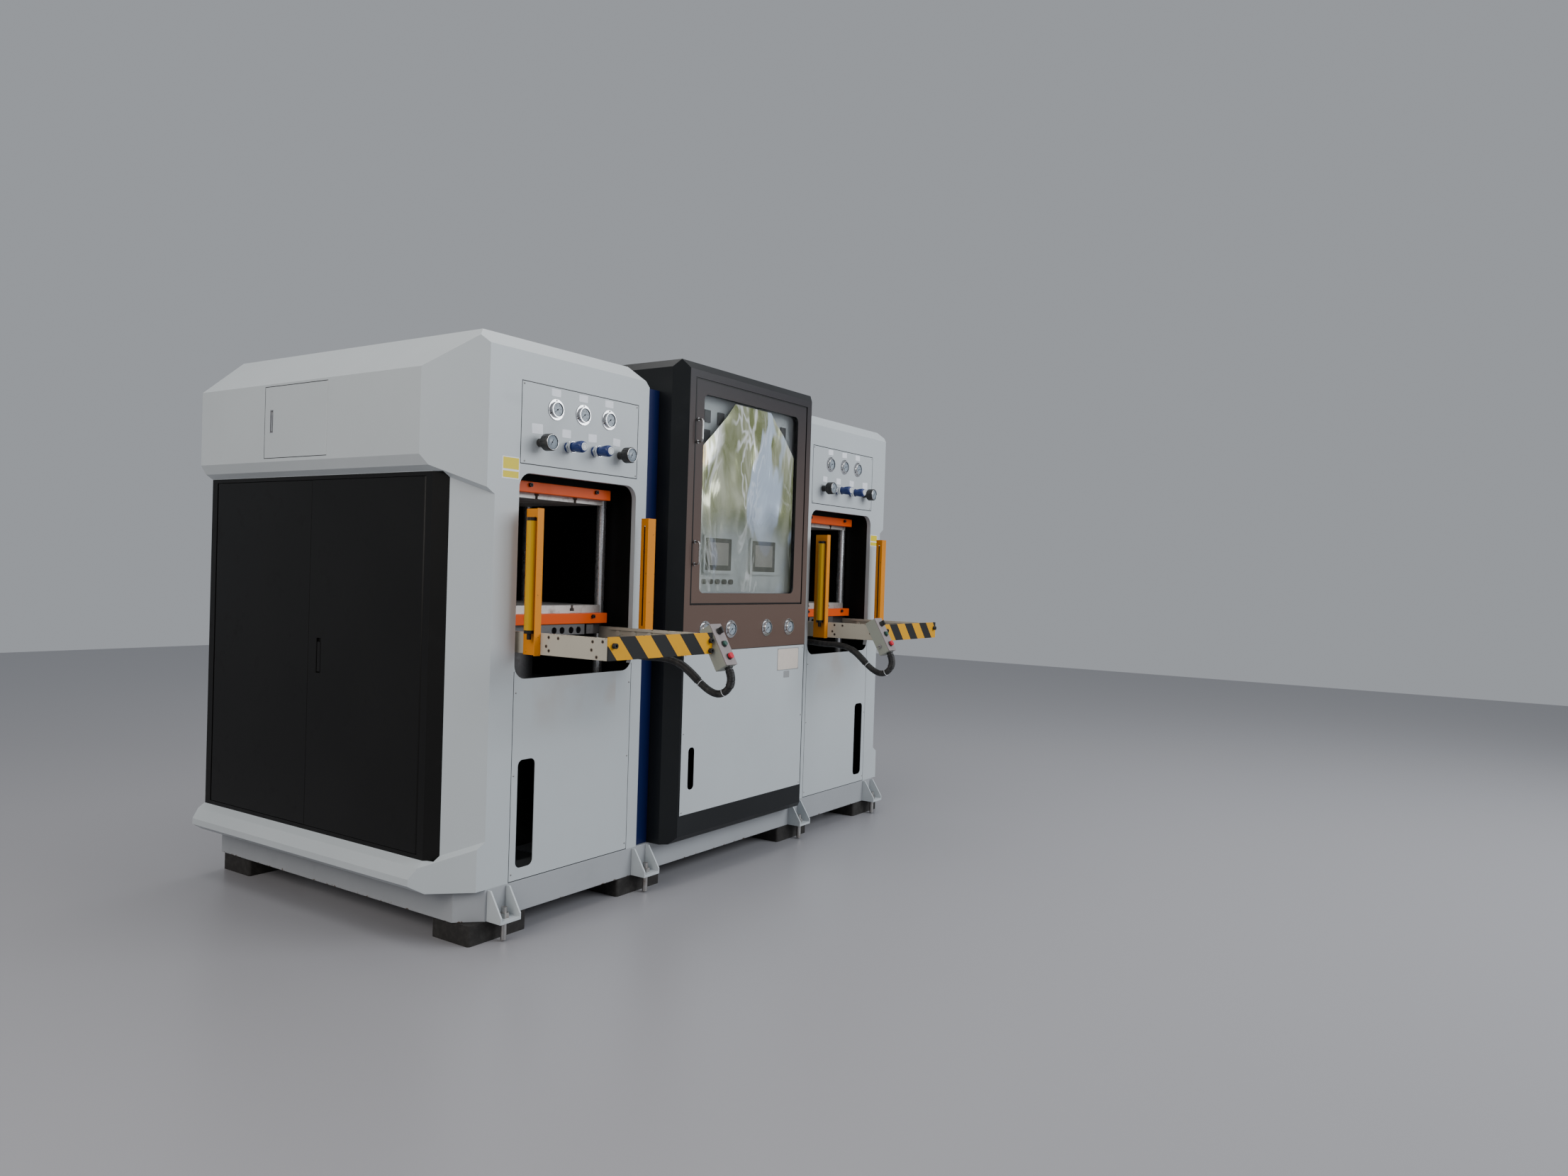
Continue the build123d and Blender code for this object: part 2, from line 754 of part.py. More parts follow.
def hose_route():
    # from the gland at the box's lower end, round a loop and up, then back under the arm
    lean = math.radians(box_tilt)
    end = box_length / 2 + gland_length
    x = arm_outer + 2 + box_width / 2
    y = box_y - end * math.sin(lean) - gland_offset * math.cos(lean)
    z = box_z - end * math.cos(lean) + gland_offset * math.sin(lean)
    return [
        (x, y, z),
        (x, y - 36 * math.sin(lean), z - 36 * math.cos(lean)),
        (x - 1, -550.0, 991.0),
        (x - 3, -508.0, 961.0),
        (x - 6, -461.0, 964.0),
        (x - 10, -405.0, 996.0),
        (x - 15, -356.0, 1038.0),
        (x - 21, -303.0, 1075.0),
        (x - 27, -243.0, 1095.0),
        (x - 33, -178.0, 1100.0),
        (x - 37, -114.0, 1098.0),
        (x - 40, -52.0, 1101.0),
        (x - 41, 4.0, 1104.0),
        (x - 41, 54.0, 1104.0),
    ]


def hose():
    points = hose_route()
    runs = [math.dist(a, b) for a, b in zip(points, points[1:])]
    radii = []
    for i in range(1, len(points) - 1):
        before = Vector(*points[i]) - Vector(*points[i - 1])
        after = Vector(*points[i + 1]) - Vector(*points[i])
        half_turn = math.radians(before.get_angle(after)) / 2
        radii.append(0.45 * min(runs[i - 1], runs[i]) / math.tan(half_turn))
    path = FilletPolyline(*points, radius=radii)
    start = Vector(*points[1]) - Vector(*points[0])
    tube = sweep(Plane(origin=points[0], z_dir=start) * Circle(hose_radius), path=path)
    solid = math.pi * hose_radius**2 * path.length
    print("hose radii", [round(r) for r in radii])
    print("hose length", round(path.length), "volume to section times length", round(tube.volume / solid, 4))
    return tube


# Side doors and the black frame that they hang in

def door_frame():
    inside = waist_side + side_door_thickness + 8
    low = skirt_waist + 1
    high = hood_waist - 1
    front = side_door_front - 2
    back = side_door_back + 2
    rear = depth - 1 - sheet
    tip = waist_facet - post_start
    frame = plan_prism([(tip, post_start), (waist_side, waist_facet - waist_side), (waist_side, front),
                        (inside, front), (inside, front - 26), (tip + 10, front - 51), (tip + 10, post_start)],
                       low, high)
    frame += block(waist_side, inside, front, rear, low, side_door_low - 2)
    frame += block(waist_side, inside, front, rear, side_door_high + 2, high)
    frame += block(waist_side, inside, back, rear, low, high)
    x = waist_side + side_door_thickness / 2
    for y in (side_door_front + side_door_thickness / 2, side_door_back - side_door_thickness / 2):
        frame += rod_z(x, y, side_door_low - 3, side_door_low + pin_length, hinge_pin)
        frame += rod_z(x, y, side_door_high - pin_length, side_door_high + 3, hinge_pin)
    return frame


def pan_door(y0, y1, z0, z1, side, thickness, rim, pin, length, hinge_at_front):
    # folded door with a stiff rim, its hinge edge rounded about the pin
    door = block(side, side + thickness, y0, y1, z0, z1)
    edges = door.edges().filter_by(Axis.Z).group_by(Axis.Y)
    door = fillet(edges[0] if hinge_at_front else edges[-1], thickness / 2 - 0.1)
    door -= block(side + sheet, side + thickness + 1, y0 + rim, y1 - rim, z0 + rim, z1 - rim)
    y = y0 + thickness / 2 if hinge_at_front else y1 - thickness / 2
    door -= rod_z(side + thickness / 2, y, z0 - 1, z0 + length + 2, pin + fit)
    door -= rod_z(side + thickness / 2, y, z1 - length - 2, z1 + 1, pin + fit)
    return door


def flush_latch(door, side, y, half, z0, z1):
    # lift latch lying in a tray let into the door's skin
    tray_depth = 11.0
    tray = block(side + 0.5, side + tray_depth, y - half, y + half, z0, z1)
    tray -= block(side, side + tray_depth - 2, y - half + 3, y + half - 3, z0 + 3, z1 - 3)
    tray += block(side + 1, side + tray_depth - 1, y - half + 7, y + half - 7, z0 + 8, z1 - 20)
    door -= block(side - 1, side + tray_depth, y - half, y + half, z0, z1)
    return door + tray


def side_door(hinge_at_front):
    y0 = side_door_front if hinge_at_front else side_door_split + seam
    y1 = side_door_split - seam if hinge_at_front else side_door_back
    door = pan_door(y0, y1, side_door_low, side_door_high, waist_side, side_door_thickness, side_door_rim,
                    hinge_pin, pin_length, hinge_at_front)
    middle = (side_door_low + side_door_high) / 2 - 6
    return flush_latch(door, waist_side, y1 - 73, 18, middle - 77, middle + 77) if hinge_at_front else door


def hood_door():
    door = pan_door(hood_door_front, hood_door_back, hood_door_low, hood_door_high, hood_side,
                    hood_door_thickness, hood_door_rim, hood_pin, pin_length / 2, True)
    middle = (hood_door_low + hood_door_high) / 2 + 4
    return flush_latch(door, hood_side, hood_door_back - 52, 12, middle - 50, middle + 50)


# Control cabinet

def cabinet_envelope(inset):
    half = cabinet_half - inset
    front = cabinet_front + inset
    corner = inset * (math.sqrt(2) - 1)
    shoulder = cabinet_front + cabinet_chamfer + corner
    flat = cabinet_half - cabinet_chamfer - corner
    back = cabinet_back - inset
    points = [(-half, back), (-half, shoulder), (-flat, front), (flat, front), (half, shoulder), (half, back)]
    body = plan_prism(points, base_top + inset, cabinet_roof - inset)
    edge = cabinet_roof - bevel_rise
    normal = (0, bevel_rise, -bevel_run)
    body = keep_side(body, past((0, cabinet_front, edge), normal, inset), normal)
    for side in (-1, 1):
        normal = (-side * bevel_rise, 0, -bevel_run)
        body = keep_side(body, past((side * cabinet_half, 0, edge), normal, inset), normal)
    return keep_side(body, past((0, cabinet_front, base_top + bevel_run), (0, 1, 1), inset), (0, 1, 1))


def cabinet_body():
    body = cabinet_envelope(0) - cabinet_envelope(sheet)
    x = door_half + door_gap
    z0 = door_low - door_gap
    z1 = door_high + door_gap
    back = cabinet_front + jamb_depth
    body += block(-x - jamb_wall, x + jamb_wall, cabinet_front + 1, back, z0 - jamb_wall, z1 + jamb_wall)
    body -= block(-x, x, cabinet_front - 1, back + 1, z0, z1)
    body -= block(-service_half + 40, service_half - 40, cabinet_front - 1, cabinet_front + sheet + 1,
                  service_low + 40, service_high - 40)
    for gauge_x in cabinet_gauge_x:
        body -= rod_y(gauge_x, cabinet_gauge_z, cabinet_front - 1, cabinet_front + sheet + 1, gauge_hole)
    pin_x = door_half - door_thickness / 2
    pin_y = cabinet_front + door_thickness / 2
    body += rod_z(pin_x, pin_y, z0 - 4, door_low + pin_length, door_pin)
    body += rod_z(pin_x, pin_y, door_high - pin_length, z1 + 4, door_pin)
    return body


def cabinet_door():
    y0 = cabinet_front
    y1 = cabinet_front + door_thickness
    door = block(-door_half, door_half, y0, y1, door_low, door_high)
    door = fillet(door.edges().filter_by(Axis.Z).group_by(Axis.X)[-1], door_thickness / 2 - 0.1)
    door -= front_sketch(rounded(window_left, window_right, window_low, window_high, window_radius), y0 - 1, y1 + 1)
    door -= front_sketch(pane_sketch(pane_margin), y1 - rebate_depth, y1 + 1)
    pin_x = door_half - door_thickness / 2
    pin_y = y0 + door_thickness / 2
    door -= rod_z(pin_x, pin_y, door_low - 1, door_low + pin_length + 2, door_pin + fit)
    door -= rod_z(pin_x, pin_y, door_high - pin_length - 2, door_high + 1, door_pin + fit)
    return door


def pane_sketch(margin):
    return rounded(window_left - margin, window_right + margin, window_low - margin, window_high + margin,
                   window_radius + margin)


def door_window():
    y0 = cabinet_front + door_thickness - rebate_depth
    return front_sketch(pane_sketch(pane_margin - seam), y0, y0 + pane_thickness)


def door_handles():
    x = handle_inset - door_half
    out = cabinet_front - 32
    handles = []
    for z in handle_z:
        low = z - handle_length / 2
        high = z + handle_length / 2
        path = FilletPolyline((x, cabinet_front, low), (x, out, low), (x, out, high), (x, cabinet_front, high),
                              radius=12)
        bar = sweep(Plane(origin=(x, cabinet_front, low), z_dir=(0, -1, 0)) * Circle(handle_wire), path=path)
        for end in (low, high):
            bar += rod_y(x, end, cabinet_front - 6, cabinet_front, 8)
        handles.append(bar)
    return handles


def instrument_panel():
    y = cabinet_front + jamb_depth
    x = door_half + door_gap + jamb_wall / 2
    return block(-x, x, y, y + sheet, door_low - door_gap - jamb_wall / 2, door_high + door_gap + jamb_wall / 2)


def panel_controllers():
    y = cabinet_front + jamb_depth
    units = []
    for row in range(controller_rows):
        for column in range(controller_columns):
            x = (column - (controller_columns - 1) / 2) * 110
            z = door_high - 158 - row * 95
            units.append(block(x - 24, x + 24, y - 9, y, z - 30, z + 30))
    for x in (-215.0, 175.0):
        screen = block(x - 100, x + 100, y - 10, y, door_low + 170, door_low + 320)
        screen -= block(x - 78, x + 78, y - 11, y - 6, door_low + 192, door_low + 302)
        units.append(screen)
    for i in range(5):
        units.append(rod_y(-320 + i * 55, door_low + 110, y - 14, y, 13))
    return units


def cabinet_service_panel():
    sketch = Pos(0, (service_low + service_high) / 2) * Rectangle(2 * service_half, service_high - service_low)
    left = 56 - service_half
    sketch -= rounded(left, left + 46, service_low + 116, service_low + 316, 20)
    return front_sketch(sketch, cabinet_front - 2, cabinet_front)


def filler_strip():
    # closes the gap between the station's inner side and the cabinet
    return block(inner_edge, inner_edge + filler_width, 16, 16 + sheet, base_top, inner_top)


# Base frame, pads, feet

def base_frame():
    c = base_chamfer
    points = [(-base_half, c), (c - base_half, 0), (base_half - c, 0), (base_half, c), (base_half, depth),
              (-base_half, depth)]
    frame = plan_prism(points, pad_height, base_top)
    for x0, x1, y0, y1 in base_windows():
        frame -= block(x0, x1, y0, y1, pad_height - 1, base_top + 1)
    return frame


def base_windows():
    pads_front = pad_depth + 10
    pads_back = depth - pad_depth - 10
    spots = []
    for centre in (-station_centre, station_centre):
        spots.append((centre - window_half, centre + window_half, pads_front, cheek_back))
        spots.append((centre - window_half, centre + window_half, cheek_back + 80, pads_back))
    half = cabinet_half - 90
    spots.append((-half, half, 110.0, middle_y * 2 - 40))
    spots.append((-half, half, middle_y * 2 + 40, depth - 110))
    return spots


def rubber_pads():
    pads = []
    for x in (base_half - pad_outer_inset, cabinet_half + pad_inner_offset):
        for side in (-1, 1):
            for y0 in (2.0, depth - pad_depth - 2.0):
                pad = block(side * x - pad_length / 2, side * x + pad_length / 2, y0, y0 + pad_depth, 0, pad_height)
                pads.append(fillet(pad.edges().filter_by(Axis.Z), 12))
    return pads


def foot_places():
    return [side * x for x in (base_half - foot_outer_inset, cabinet_half + foot_inner_offset) for side in (-1, 1)]


def anchor_feet():
    # angle feet welded to the front rail, each with two cheeks and a hole for its jack bolt
    top = base_top - 4
    feet = []
    for x in foot_places():
        left = x - foot_width / 2
        right = x + foot_width / 2
        foot = block(left, right, -foot_reach, 0, pad_height, pad_height + foot_plate)
        for x0 in (left, right - foot_sheet):
            foot += side_prism([(-foot_reach, pad_height), (0, pad_height), (0, top), (-18, top),
                                (-foot_reach, pad_height + 26)], x0, x0 + foot_sheet)
        foot -= rod_z(x, -foot_reach / 2, pad_height - 1, pad_height + foot_plate + 1, jack_radius + 1)
        feet.append(foot)
    return feet


def jack_bolts():
    bolts = []
    rest = pad_height + foot_plate
    for x in foot_places():
        nut = Pos(x, -foot_reach / 2, rest) * extrude(RegularPolygon(jack_radius * 1.7, 6), amount=20)
        bolts.append(nut + rod_z(x, -foot_reach / 2, 6, rest + 42, jack_radius))
    return bolts


def build_cabinet():
    keep("cabinet_body", cabinet_body())
    keep("cabinet_door", cabinet_door())
    keep("door_window", door_window())
    keep("door_handles", door_handles())
    keep("instrument_panel", instrument_panel())
    keep("panel_controllers", panel_controllers())
    keep("cabinet_service_panel", cabinet_service_panel())


def build_base():
    keep("base_frame", base_frame())
    keep("rubber_pads", rubber_pads())
    keep("anchor_feet", anchor_feet())
    keep("jack_bolts", jack_bolts())


def build_fixed_pieces():
    keep("filler_strips", both(filler_strip()))
    keep("gauge_plates", both(gauge_plate()))
    keep("lower_panels", both(lower_panel()))
    keep("rear_panels", both(rear_panel()))
    keep("press_frames", both(press_frame()))
    keep("cylinders", both(cylinder()))
    keep("power_units", both(power_unit()))
    keep("upper_platens", both(platen(upper_platen_low, crown_low, False)))
    keep("upper_bars", both(clamp_bar(crown_low - bar_height)))
    keep("hazard_bars", both(hazard_bar()))
    keep("box_lids", both(box_lid()))
    keep("door_frames", both(door_frame()))
    keep("control_boxes", [to_left(control_box(False)), to_right(control_box(True))])
    keep("side_arms", both(side_arm(-1)) + both(inner_arm()))
    gauges = [gauge(x, cabinet_gauge_z, cabinet_front) for x in cabinet_gauge_x]
    for x in gauge_places():
        gauges += both(gauge(x, gauge_z, 0))
    keep("pressure_gauges", gauges)
    keep("guide_columns", [half for column in guide_columns() for half in both(column)])
    # the light curtain has the same hand on both stations
    centres = (-station_centre, station_centre)
    keep("light_posts", [Pos(c, 0, 0) * light_post(side) for c in centres for side in (-1, 1)])
    keep("light_tubes", [Pos(c, 0, 0) * light_tube(side) for c in centres for side in (-1, 1)])


def build_station(hand, place):
    keep(f"{hand}_shell", place(station_shell()))
    keep(f"{hand}_side_door_front", place(side_door(True)))
    keep(f"{hand}_side_door_rear", place(side_door(False)))
    keep(f"{hand}_hood_door", place(hood_door()))
    keep(f"{hand}_ram_table", place(ram_table()))
    keep(f"{hand}_lower_platen", place(platen(table_high, lower_platen_high, True)))
    keep(f"{hand}_lower_bar", place(clamp_bar(table_high - lower_bar_drop)))
    keep(f"{hand}_start_button", place(push_button(0, button_radius, 4)))
    keep(f"{hand}_stop_button", place(push_button(-button_pitch, 13.5, 8)))
    keep(f"{hand}_selector", place(selector_knob()))
    keep(f"{hand}_hose", place(hose()))
    for i, x in enumerate(knob_places()):
        knob = black_knob(x) if i in (0, 3) else blue_knob(x)
        keep(f"{hand}_knob_{i + 1}", place(knob))


def write_all():
    # the origin is on the floor, in the middle of the depth without the hoses
    rigid = [solids for name, solids in pieces.items() if not name.endswith("hose")]
    boxes = [solid.bounding_box() for solids in rigid for solid in solids]
    front = min(box.min.Y for box in boxes)
    back = max(box.max.Y for box in boxes)
    shift = -(front + back) / 2
    print("front", round(front, 2), "back", round(back, 2), "shift", round(shift, 2))
    os.makedirs("parts", exist_ok=True)
    for name, solids in pieces.items():
        moved = [solid.moved(Location((0, shift, 0))) for solid in solids]
        export_step(moved[0] if len(moved) == 1 else Compound(children=moved), f"parts/{name}.step")


build_base()
build_cabinet()
build_fixed_pieces()
build_station("left", to_left)
build_station("right", to_right)
keep("key_switch", to_right(key_switch()))
write_all()
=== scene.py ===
# %% [markdown]
# # A twin-station hydraulic moulding press
# The CAD model gives every rigid piece of this press in metres, in its right place: two press stations on one welded
# base, and a control cabinet between them. This lesson gives those pieces their finishes and adds what is too small
# for the CAD: gauge dials, screws, stickers, the ribs and tape of the hoses, and the wrinkled film on the window.
# It first loads the model and makes a helper that turns the machine's own millimetres into places in the scene.

# %% Load the model
import math
import random
from functools import partial

import bmesh
import bpy
from mathutils import Matrix, Vector


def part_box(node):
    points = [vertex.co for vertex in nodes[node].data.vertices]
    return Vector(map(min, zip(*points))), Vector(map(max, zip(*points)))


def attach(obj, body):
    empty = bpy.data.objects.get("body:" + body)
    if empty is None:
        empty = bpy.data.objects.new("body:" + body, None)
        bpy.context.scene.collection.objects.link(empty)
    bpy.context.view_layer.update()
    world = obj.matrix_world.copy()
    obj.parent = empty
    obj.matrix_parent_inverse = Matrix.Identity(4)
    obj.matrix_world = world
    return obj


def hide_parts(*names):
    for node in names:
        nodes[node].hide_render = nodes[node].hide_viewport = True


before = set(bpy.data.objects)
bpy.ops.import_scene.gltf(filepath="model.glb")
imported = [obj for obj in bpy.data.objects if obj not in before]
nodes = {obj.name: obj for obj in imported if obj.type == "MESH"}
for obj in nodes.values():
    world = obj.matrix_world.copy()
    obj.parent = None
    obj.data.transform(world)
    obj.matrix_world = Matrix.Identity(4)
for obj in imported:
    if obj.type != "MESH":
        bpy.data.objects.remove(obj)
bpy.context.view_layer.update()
scene = bpy.context.scene
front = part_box("gauge_plates")[0][1]
station = 1.1
print("front sheet at y =", round(front, 4), "and", len(nodes), "nodes")


def at(x, y, z):
    """A point in the scene from millimetres across, behind the front sheet, and above the floor."""
    return Vector((x / 1000, front + y / 1000, z / 1000))


# %% [markdown]
# ## The camera
# The photograph was taken standing, in front of the left station and well to its left, with a wide lens.
# The lens and the angles were found from the machine's upright and level edges, so the camera is placed by numbers:
# the direction it looks in, then a small roll about that direction.

# %% Camera
yaw, pitch, roll = (math.radians(a) for a in (56.480, -0.7467, 1.8151))
ahead = Vector((math.sin(yaw) * math.cos(pitch), math.cos(yaw) * math.cos(pitch), math.sin(pitch)))
right = Vector((math.cos(yaw), -math.sin(yaw), 0))
up = right.cross(ahead)
rolled_right = right * math.cos(roll) + up * math.sin(roll)
rolled_up = up * math.cos(roll) - right * math.sin(roll)
turn = Matrix((rolled_right, rolled_up, -ahead)).transposed().to_4x4()
camera_data = bpy.data.cameras.new("camera")
camera_data.lens = 24.61
camera_data.sensor_width = 36
camera_data.clip_end = 60
camera = bpy.data.objects.new("camera", camera_data)
camera.matrix_world = Matrix.Translation(at(-4440.7, -3266.9, 1488.5)) @ turn
scene.collection.objects.link(camera)
scene.camera = camera

# %% [markdown]
# ## Shader groups
# Most of the machine is painted sheet steel, so one group makes a coat of paint: a fine orange-peel height, broad
# faint clouds of colour, and small scuffs. A second group adds chips that show primer and rust, only where it is told
# to. A third gives bare steel its grinding lines. Each takes a place or a direction from the material that uses it,
# and puts out colours, masks and heights, while the shader itself stays in the material.

# %% Node helpers


def add(tree, kind, inputs=(), **settings):
    """A node with its settings, and its inputs given as numbers, colours or other nodes' sockets."""
    made = tree.nodes.new(kind)
    for key, value in settings.items():
        setattr(made, key, value)
    for key, value in dict(inputs).items():
        if isinstance(value, bpy.types.NodeSocket):
            tree.links.new(value, made.inputs[key])
        else:
            made.inputs[key].default_value = value
    return made


def maths(operation, tree, a, b=0.0, clamp=False):
    return add(tree, "ShaderNodeMath", {0: a, 1: b}, operation=operation, use_clamp=clamp).outputs[0]


plus, minus, times = (partial(maths, operation) for operation in ("ADD", "SUBTRACT", "MULTIPLY"))
under, over = partial(maths, "LESS_THAN"), partial(maths, "GREATER_THAN")
absolute, sign, sine = (partial(maths, operation) for operation in ("ABSOLUTE", "SIGN", "SINE"))


def largest(tree, found, *others):
    for other in others:
        found = maths("MAXIMUM", tree, found, other)
    return found


def object_place(tree):
    """A point's place in the scene, in metres, because every piece has its origin at the scene's."""
    return add(tree, "ShaderNodeTexCoord").outputs["Object"]


def split(tree, vector):
    """The three parts of a place or a direction."""
    return add(tree, "ShaderNodeSeparateXYZ", {0: vector}).outputs


def facing_parts(tree):
    """The three parts of the direction that a face looks in."""
    return split(tree, add(tree, "ShaderNodeNewGeometry").outputs["Normal"])


def blend_colour(tree, factor, first, second):
    made = add(tree, "ShaderNodeMix", {0: factor, 6: first, 7: second}, data_type="RGBA", clamp_factor=True)
    return made.outputs[2]


def noise(tree, vector, scale, detail=3.0, roughness=0.5):
    inputs = {"Vector": vector, "Scale": scale, "Detail": detail, "Roughness": roughness}
    return add(tree, "ShaderNodeTexNoise", inputs).outputs["Fac"]


def ramp(tree, value, low, high):
    """0 below low, 1 above high, and straight between them."""
    inputs = {"Value": value, "From Min": low, "From Max": high}
    return add(tree, "ShaderNodeMapRange", inputs, clamp=True).outputs["Result"]


def vector_maths(tree, operation, a, b):
    return add(tree, "ShaderNodeVectorMath", {0: a, 1: b}, operation=operation).outputs[0]


def feed(node, **sockets):
    """Links other nodes' outputs to the inputs of a shader, or of a group's last node."""
    for key, value in sockets.items():
        node.id_data.links.new(value, node.inputs[key.replace("_", " ")])


def new_group(name, inputs, outputs):
    """A group's tree, the sockets it is given, and its last node."""
    tree = bpy.data.node_groups.new(name, "ShaderNodeTree")
    for title, kind, value in inputs:
        socket = tree.interface.new_socket(title, in_out="INPUT", socket_type=kind)
        socket.default_value = value
    for title, kind in outputs:
        tree.interface.new_socket(title, in_out="OUTPUT", socket_type=kind)
    return tree, tree.nodes.new("NodeGroupInput").outputs, tree.nodes.new("NodeGroupOutput")


FLOAT, COLOUR, POINT = "NodeSocketFloat", "NodeSocketColor", "NodeSocketVector"

# %% Group: a coat of paint
tree, given, out = new_group(
    "paint_coat",
    [("Paint", COLOUR, (0.6, 0.6, 0.6, 1)), ("Cloud", COLOUR, (0.5, 0.5, 0.5, 1)), ("Gloss", FLOAT, 0.4),
     ("Peel", FLOAT, 700.0), ("Scuffs", FLOAT, 0.3)],
    [("Color", COLOUR), ("Roughness", FLOAT), ("Height", FLOAT)])
paint_coat = tree
place = object_place(tree)
clouds = ramp(tree, noise(tree, place, 2.2, 4.0), 0.35, 0.7)
peel = noise(tree, place, given["Peel"], 2.0)
smears = ramp(tree, noise(tree, place, 9.0, 6.0, 0.7), 0.55, 0.8)
coloured = blend_colour(tree, times(tree, clouds, 0.5), given["Paint"], given["Cloud"])
scuffed = blend_colour(tree, times(tree, smears, given["Scuffs"]), coloured, given["Cloud"])
rough = plus(tree, given["Gloss"], times(tree, smears, 0.14))
rough = plus(tree, rough, times(tree, peel, 0.05))
feed(out, Color=scuffed, Roughness=rough, Height=peel)

# %% Group: chips down to primer and rust
tree, given, out = new_group(
    "chipped",
    [("Color", COLOUR, (0.6, 0.6, 0.6, 1)), ("Bare", COLOUR, (0.06, 0.03, 0.02, 1)), ("Where", FLOAT, 0.0),
     ("Size", FLOAT, 60.0)],
    [("Color", COLOUR), ("Mask", FLOAT)])
chipped = tree
spots = noise(tree, object_place(tree), given["Size"], 5.0, 0.65)
level = minus(tree, 0.80, times(tree, given["Where"], 0.24))
mask = times(tree, minus(tree, spots, level), 40.0, True)
stain = times(tree, minus(tree, spots, minus(tree, level, 0.05)), 6.0, True)
stained = blend_colour(tree, times(tree, stain, 0.35), given["Color"], (0.22, 0.09, 0.03, 1))
feed(out, Color=blend_colour(tree, mask, stained, given["Bare"]), Mask=mask)

# %% Group: ground steel
tree, given, out = new_group(
    "ground_steel",
    [("Steel", COLOUR, (0.5, 0.5, 0.5, 1)), ("Stain", COLOUR, (0.2, 0.1, 0.05, 1)), ("Stretch", POINT, (1, 1, 1)),
     ("Stains", FLOAT, 0.3), ("Gloss", FLOAT, 0.3)],
    [("Color", COLOUR), ("Roughness", FLOAT), ("Height", FLOAT)])
ground_steel = tree
place = object_place(tree)
lines = noise(tree, vector_maths(tree, "MULTIPLY", place, given["Stretch"]), 60.0, 4.0, 0.7)
marks = times(tree, ramp(tree, noise(tree, place, 14.0, 6.0, 0.7), 0.50, 0.75), given["Stains"], True)
shade = plus(tree, 0.78, times(tree, lines, 0.44))
lit = add(tree, "ShaderNodeVectorMath", {0: given["Steel"], "Scale": shade}, operation="SCALE").outputs[0]
rough = plus(tree, given["Gloss"], times(tree, lines, 0.15))
rough = plus(tree, rough, times(tree, marks, 0.3))
feed(out, Color=blend_colour(tree, marks, lit, given["Stain"]), Roughness=rough, Height=lines)

# %% Material helpers
finishes = {}


def new_material(name, **constants):
    """A material, its tree and its shader, with numbers set on the shader's own sockets."""
    made = bpy.data.materials.new(name)
    finishes[name] = made
    made.use_nodes = True
    shader = made.node_tree.nodes["Principled BSDF"]
    for key, value in constants.items():
        shader.inputs[key.replace("_", " ")].default_value = value
    return made, made.node_tree, shader


def group(tree, which, **inputs):
    return add(tree, "ShaderNodeGroup", inputs, node_tree=which).outputs


def bump(shader, height, strength, distance):
    inputs = {"Height": height, "Strength": strength, "Distance": distance}
    feed(shader, Normal=add(shader.id_data, "ShaderNodeBump", inputs).outputs["Normal"])


def beyond(tree, direction, distance):
    """1 where a point lies past a plane: the direction is its normal and the distance is from the scene's origin."""
    inputs = {0: object_place(tree), 1: Vector(direction)}
    along = add(tree, "ShaderNodeVectorMath", inputs, operation="DOT_PRODUCT")
    return over(tree, along.outputs["Value"], distance)


def near_ends(tree, axis, low, high, width):
    """1 at the two ends of a span along an axis, falling to 0 a width further in."""
    along = split(tree, object_place(tree))[axis]
    half = (high - low) / 2
    off = absolute(tree, minus(tree, along, (low + high) / 2))
    return ramp(tree, off, half - width, half)


def edge_lines(tree, width, *spans):
    """1 in a strip along the ends of each span, given as (axis, low, high). Across, both stations count alike."""
    spot = split(tree, object_place(tree))
    found = 0.0
    for axis, low, high in spans:
        along = absolute(tree, spot[0]) if axis == 0 else spot[axis]
        off = absolute(tree, minus(tree, along, (low + high) / 2))
        found = largest(tree, found, over(tree, off, (high - low) / 2 - width))
    return found


def tint(colour, amount=1.0):
    return tuple(c * amount for c in colour) + (1,)


def painted(name, colour, cloud=0.86, gloss=0.38, peel=700.0, scuffs=0.3, relief=0.08, shine=0.5):
    made, tree, shader = new_material(name, Specular_IOR_Level=shine)
    coat = group(tree, paint_coat, Paint=tint(colour), Cloud=tint(colour, cloud), Gloss=gloss, Peel=peel,
                 Scuffs=scuffs)
    feed(shader, Base_Color=coat["Color"], Roughness=coat["Roughness"])
    bump(shader, coat["Height"], relief, 0.0004)
    return made, tree, shader


def steel(name, colour, stretch, stains=0.3, gloss=0.25, metallic=1.0, stain=(0.16, 0.08, 0.04)):
    made, tree, shader = new_material(name, Metallic=metallic)
    ground = group(tree, ground_steel, Steel=tint(colour), Stain=tint(stain), Stretch=stretch, Stains=stains,
                   Gloss=gloss)
    feed(shader, Base_Color=ground["Color"], Roughness=ground["Roughness"])
    bump(shader, ground["Height"], 0.12, 0.0003)
    return made, tree, shader


def plastic(name, colour, gloss=0.4, dust=0.08):
    made, tree, shader = new_material(name)
    spot = object_place(tree)
    dusty = times(tree, ramp(tree, noise(tree, spot, 40.0, 5.0, 0.65), 0.45, 0.75), dust)
    fine = noise(tree, spot, 1500.0, 2.0)
    feed(shader, Base_Color=blend_colour(tree, dusty, tint(colour), (0.35, 0.33, 0.30, 1)),
         Roughness=plus(tree, gloss, times(tree, fine, 0.08)))
    bump(shader, fine, 0.15, 0.0003)
    return made


